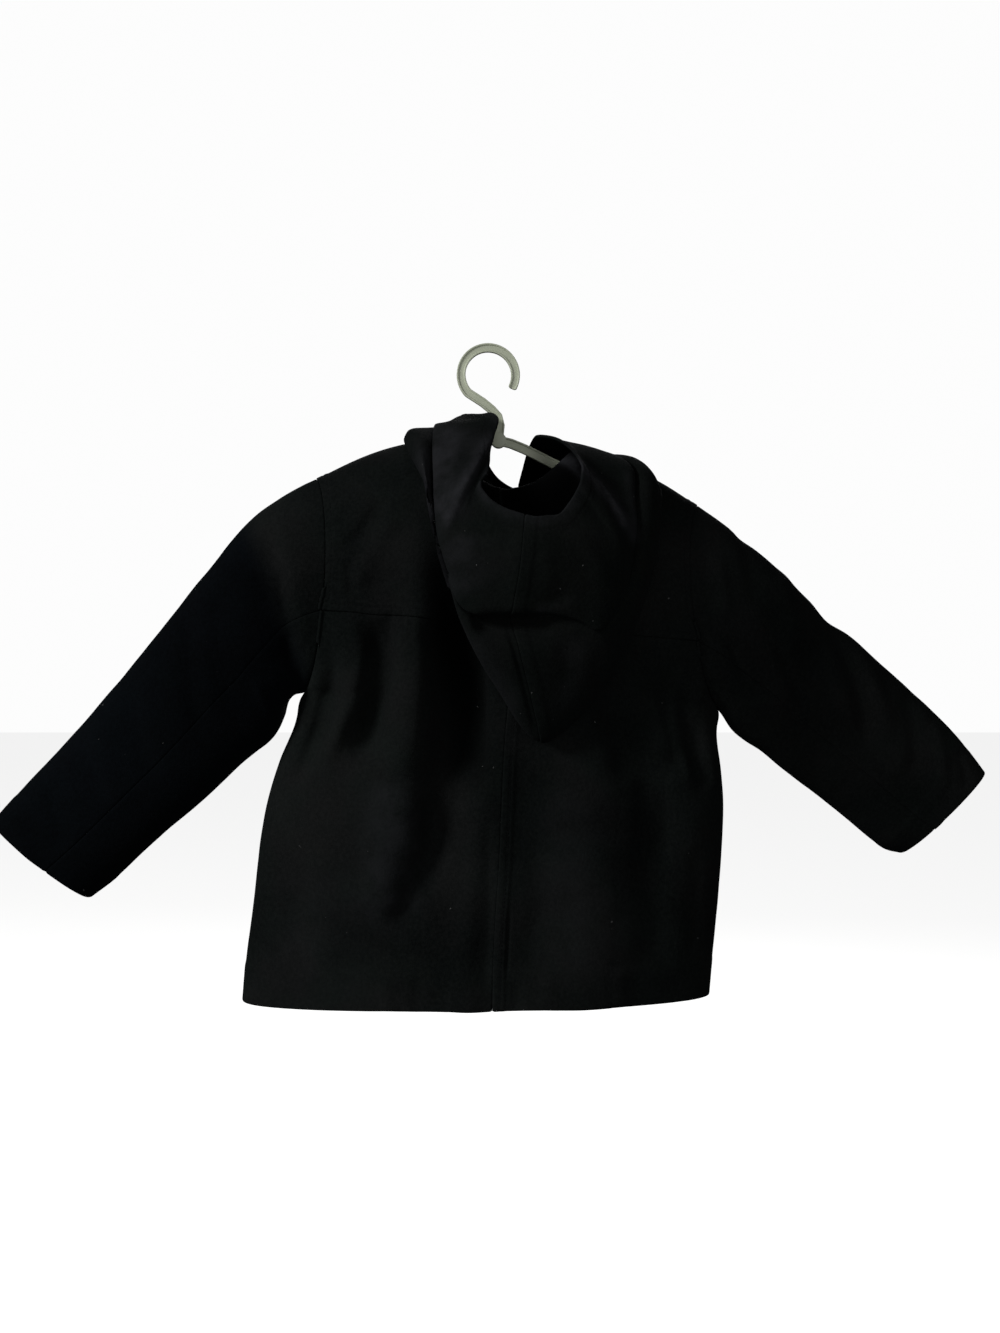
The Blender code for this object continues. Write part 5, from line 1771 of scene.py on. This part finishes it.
# %% The hood
hood_row_cuts = cuts_along(hood, 0, (NECK_COLUMNS,))
hood_column_cuts = cuts_along(hood, 1, (0, 1))
fine_hood = divide(divide(hood, 0, hood_row_cuts), 1, hood_column_cuts)
fine_hood = creased(fine_hood, HOOD_CREASES, -1, (LAST_COLUMN,))
hood_middle = starts(hood_row_cuts)[NECK_COLUMNS]
# pale fluff and a painted highlight along the rim, where the cloth faces back
rim_fluff_and_highlight = RIM_FLUFF_AND_HIGHLIGHT * np.exp(-((reach_from(fine_hood, FIRST_COLUMN) / RIM_FLUFF_AND_HIGHLIGHT_WIDE) ** 2))
rim_fluff_and_highlight *= smooth(-2 * point_normals(fine_hood)[..., 1])
dust_and_painted_light = np.clip(np.maximum(crease_height(fine_hood, HOOD_FLUFF_AND_LIGHT) / MM, rim_fluff_and_highlight), 0, 1)
for node, part, first, last in (
    ("hood_left", slice(hood_middle + 1), "plain", "joined"),
    ("hood_right", slice(hood_middle, None), "pressed", "plain"),
):
    add_cloth(node, fine_hood[part], (first, last, "rim", "joined"),
              HOOD_WOOL, HOOD_INSIDE_PAINTED_SHADE, {"dust_and_painted_light": dust_and_painted_light[part]})

# %% One mesh for all the stitches
hung_stitches = (np.array(stitch_points) + HUNG).tolist()
topstitching = add_mesh("topstitching", hung_stitches, stitch_faces, THREAD)
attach(topstitching, "root")
print("stitches:", len(stitch_points) // (STITCH_SIDES * len(STITCH_PROFILE)))

# %% [markdown]
# ## Buttons
#
# A coat button is pressed from plastic and turned: a raised rim, a dished middle and four
# holes through which thread is crossed. One round grid makes it. Its height follows the
# turned profile, and drops into a pit at each hole.

# %% A button with four holes, and its thread
BUTTON_LINE = (             # shares of the radius and of the thickness, from below to the middle
    (0.00, 0.00), (0.60, 0.00), (0.90, 0.02), (0.97, 0.10), (1.00, 0.28), (1.00, 0.66),
    (0.985, 0.82), (0.95, 0.94), (0.90, 1.00), (0.82, 1.00), (0.76, 0.94), (0.70, 0.80),
    (0.64, 0.70), (0.52, 0.66), (0.40, 0.65), (0.28, 0.65), (0.16, 0.65), (0.06, 0.65),
    (0.00, 0.65),
)
BUTTON_TURNS = 64
HOLE_AT, HOLE_RADIUS, HOLE_DEEP = 0.0026, 0.0010, 0.0016
HOLE_ANGLES = [math.radians(45 + 90 * k) for k in range(4)]
CROSS_THICK, CROSS_SIDES, CROSS_BENDS = 0.0009, 8, 9
CROSS_HEIGHT = 0.72         # the threads leave the holes at this share of the thickness
CROSS_BOWS = (0.0010, 0.0014)                   # and the second lies over the first


def button_points():
    """Rings of points from the underside round to the middle of the face."""
    levels = np.array(BUTTON_LINE)
    knots = np.linspace(0, 1, len(levels))
    at = np.linspace(0, 1, 3 * len(levels))
    radius = np.interp(at, knots, levels[:, 0]) * BUTTON_RADIUS
    height = np.interp(at, knots, levels[:, 1]) * BUTTON_THICK
    rings = []
    for r, h in zip(radius[1:-1], height[1:-1]):
        for k in range(BUTTON_TURNS):
            turn = 2 * math.pi * k / BUTTON_TURNS
            x, y = r * math.cos(turn), r * math.sin(turn)
            near = min(
                math.hypot(x - HOLE_AT * math.cos(a), y - HOLE_AT * math.sin(a))
                for a in HOLE_ANGLES
            )
            pit = math.exp(-((near / HOLE_RADIUS) ** 6)) if h > BUTTON_THICK / 2 else 0
            rings.append((x, y, h - HOLE_DEEP * pit))
    return [(0, 0, 0)] + rings + [(0, 0, height[-1])]


def button_faces(count):
    """Quads between the rings and a fan at either end."""
    rings = (count - 2) // BUTTON_TURNS
    faces = []
    for k in range(BUTTON_TURNS):
        after = (k + 1) % BUTTON_TURNS
        faces.append((0, 1 + after, 1 + k))
        for level in range(rings - 1):
            a, b = 1 + level * BUTTON_TURNS, 1 + (level + 1) * BUTTON_TURNS
            faces.append((a + k, a + after, b + after, b + k))
        a = 1 + (rings - 1) * BUTTON_TURNS
        faces.append((a + k, a + after, count - 1))
    return faces


def thread_bar(start, end, bow):
    """A thread from one hole to the opposite one, bowed over the middle: points and faces."""
    points = []
    side = np.cross([0, 0, 1.0], unit(end - start))
    for k in range(CROSS_BENDS):
        t = k / (CROSS_BENDS - 1)
        centre = start + (end - start) * t + np.array([0, 0, bow * 4 * t * (1 - t) - bow])
        for turn in np.linspace(0, 2 * math.pi, CROSS_SIDES, endpoint=False):
            out = side * math.cos(turn) + np.array([0, 0, 1.0]) * math.sin(turn)
            points.append(centre + out * CROSS_THICK / 2)
    return points, tube_faces(CROSS_BENDS, CROSS_SIDES)


def add_button(number, place, normal):
    """One button with its crossed thread, in place of its solid."""
    points = button_points()
    faces = button_faces(len(points))
    plain = len(faces)
    parts = [(points, faces)]
    for k, bow in enumerate(CROSS_BOWS):
        corners = [
            np.array([HOLE_AT * math.cos(a), HOLE_AT * math.sin(a), BUTTON_THICK * CROSS_HEIGHT])
            for a in (HOLE_ANGLES[k], HOLE_ANGLES[k + 2])
        ]
        parts.append(thread_bar(*corners, bow))
    points, faces = together(*parts)
    turn = Vector(normal).to_track_quat("Z", "Y").to_matrix()
    placed = [turn @ Vector(point) + Vector(place + HUNG) for point in points]
    button = add_mesh(f"button_{number}_turned", placed, faces, BUTTON_PLASTIC, THREAD)
    for face in button.data.polygons:
        face.material_index = int(face.index >= plain)
    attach(button, "root")
    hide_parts(f"button_{number}")


for number, (place, normal) in enumerate(seats):
    add_button(number + 1, place, normal)
print("buttons:", len(seats))

# %% [markdown]
# ## Hanger
#
# The hanger is moulded in one: a thin web with a flange above and below, which keeps it stiff
# and light, a round hub, and a hook of the same section. Moulded edges are never sharp, so
# each corner of the section is rounded and the ends are closed with a small dome.

# %% The hanger's rounded section
CORNER_ROUND = 0.00045
CORNER_STEPS = 4


def rounded(section):
    """The section with an arc at each corner."""
    out = []
    count = len(section)
    for k in range(count):
        before, here, after = (np.array(section[(k + d) % count]) for d in (-1, 0, 1))
        start = here + unit(before - here) * CORNER_ROUND
        end = here + unit(after - here) * CORNER_ROUND
        for t in np.linspace(0, 1, CORNER_STEPS):
            out.append(start * (1 - t) ** 2 + 2 * here * t * (1 - t) + end * t**2)
    return out


print("corners rounded by", CORNER_ROUND * 1000, "mm")

# %% The hanger
END_ROWS = 5                # rows of the dome at each end
HOOK_SLIMMER = 0.0006       # the hook is this much slimmer than the bar
HUB_EASE = 0.0006           # the hub's edges are turned over by this much
SHARP = 50                  # degrees; sharper edges keep their line


def swept(path, section, across):
    """Points and faces of a bar of one section along a path, with a dome at each end."""
    path = np.array(path)
    first, last = unit(path[0] - path[1]), unit(path[-1] - path[-2])
    depth = BAR_THICK / 2
    domes = [math.sin(math.pi / 2 * k / END_ROWS) for k in range(END_ROWS)]
    start = [path[0] + first * depth * s for s in domes[:0:-1]]
    end = [path[-1] + last * depth * s for s in domes[1:]]
    sizes = [math.sqrt(1 - s * s) for s in domes[:0:-1]] + [1.0] * len(path)
    sizes += [math.sqrt(1 - s * s) for s in domes[1:]]
    line = np.array(start + list(path) + end)
    points = []
    for k, (centre, size) in enumerate(zip(line, sizes)):
        forward = line[min(k + 1, len(line) - 1)] - line[max(k - 1, 0)]
        side = unit(np.cross(across, forward))
        points += [centre + (u * across + v * side) * size for u, v in section]
    return points, tube_faces(len(line), len(section))


def hub(across):
    """Points and faces of the round hub, its edges turned over."""
    half, near = HUB_THICK / 2, HUB_EASE / 4
    upper = [(HUB_RADIUS, half - HUB_EASE), (HUB_RADIUS - near, half - near),
             (HUB_RADIUS - HUB_EASE, half), (0, half)]
    line = [(radius, -height) for radius, height in reversed(upper)] + upper
    up = np.array([0.0, 0.0, 1.0])
    side = np.cross(up, across)
    middle = hanger_plane(HUB_X, HUB_HEIGHT)
    turns = 2 * math.pi * np.arange(BUTTON_TURNS) / BUTTON_TURNS
    points = [middle + across * line[0][1]]
    for radius, height in line[1:-1]:
        points += [
            middle + across * height + (side * math.cos(a) + up * math.sin(a)) * radius
            for a in turns
        ]
    points.append(middle + across * line[-1][1])
    return points, button_faces(len(points))


def add_hanger():
    """The arms, the hook and the hub as one mesh."""
    across = np.array([-TURN, 1.0, 0.0]) / math.hypot(TURN, 1.0)
    arm_section = rounded(bar_section(BAR_THICK, BAR_TALL))
    hook_section = rounded(bar_section(BAR_THICK - HOOK_SLIMMER, BAR_TALL - HOOK_SLIMMER))
    points, faces = together(
        swept(hanger_arm_line(), arm_section, across),
        swept(hook_line(), hook_section, across),
        hub(across),
    )
    hung = (np.array(points) + HUNG).tolist()
    moulded = add_mesh("hanger_moulded", hung, faces, HANGER_PLASTIC)
    moulded.data.set_sharp_from_angle(angle=math.radians(SHARP))
    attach(moulded, "root")
    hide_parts("hanger")
    print("hanger faces:", len(faces))


add_hanger()

# %% [markdown]
# ## Sizes
#
# The fine cloth must stay within the box of the solids, give or take a few millimetres.

# %% The scene brought up to date
bpy.context.view_layer.update()
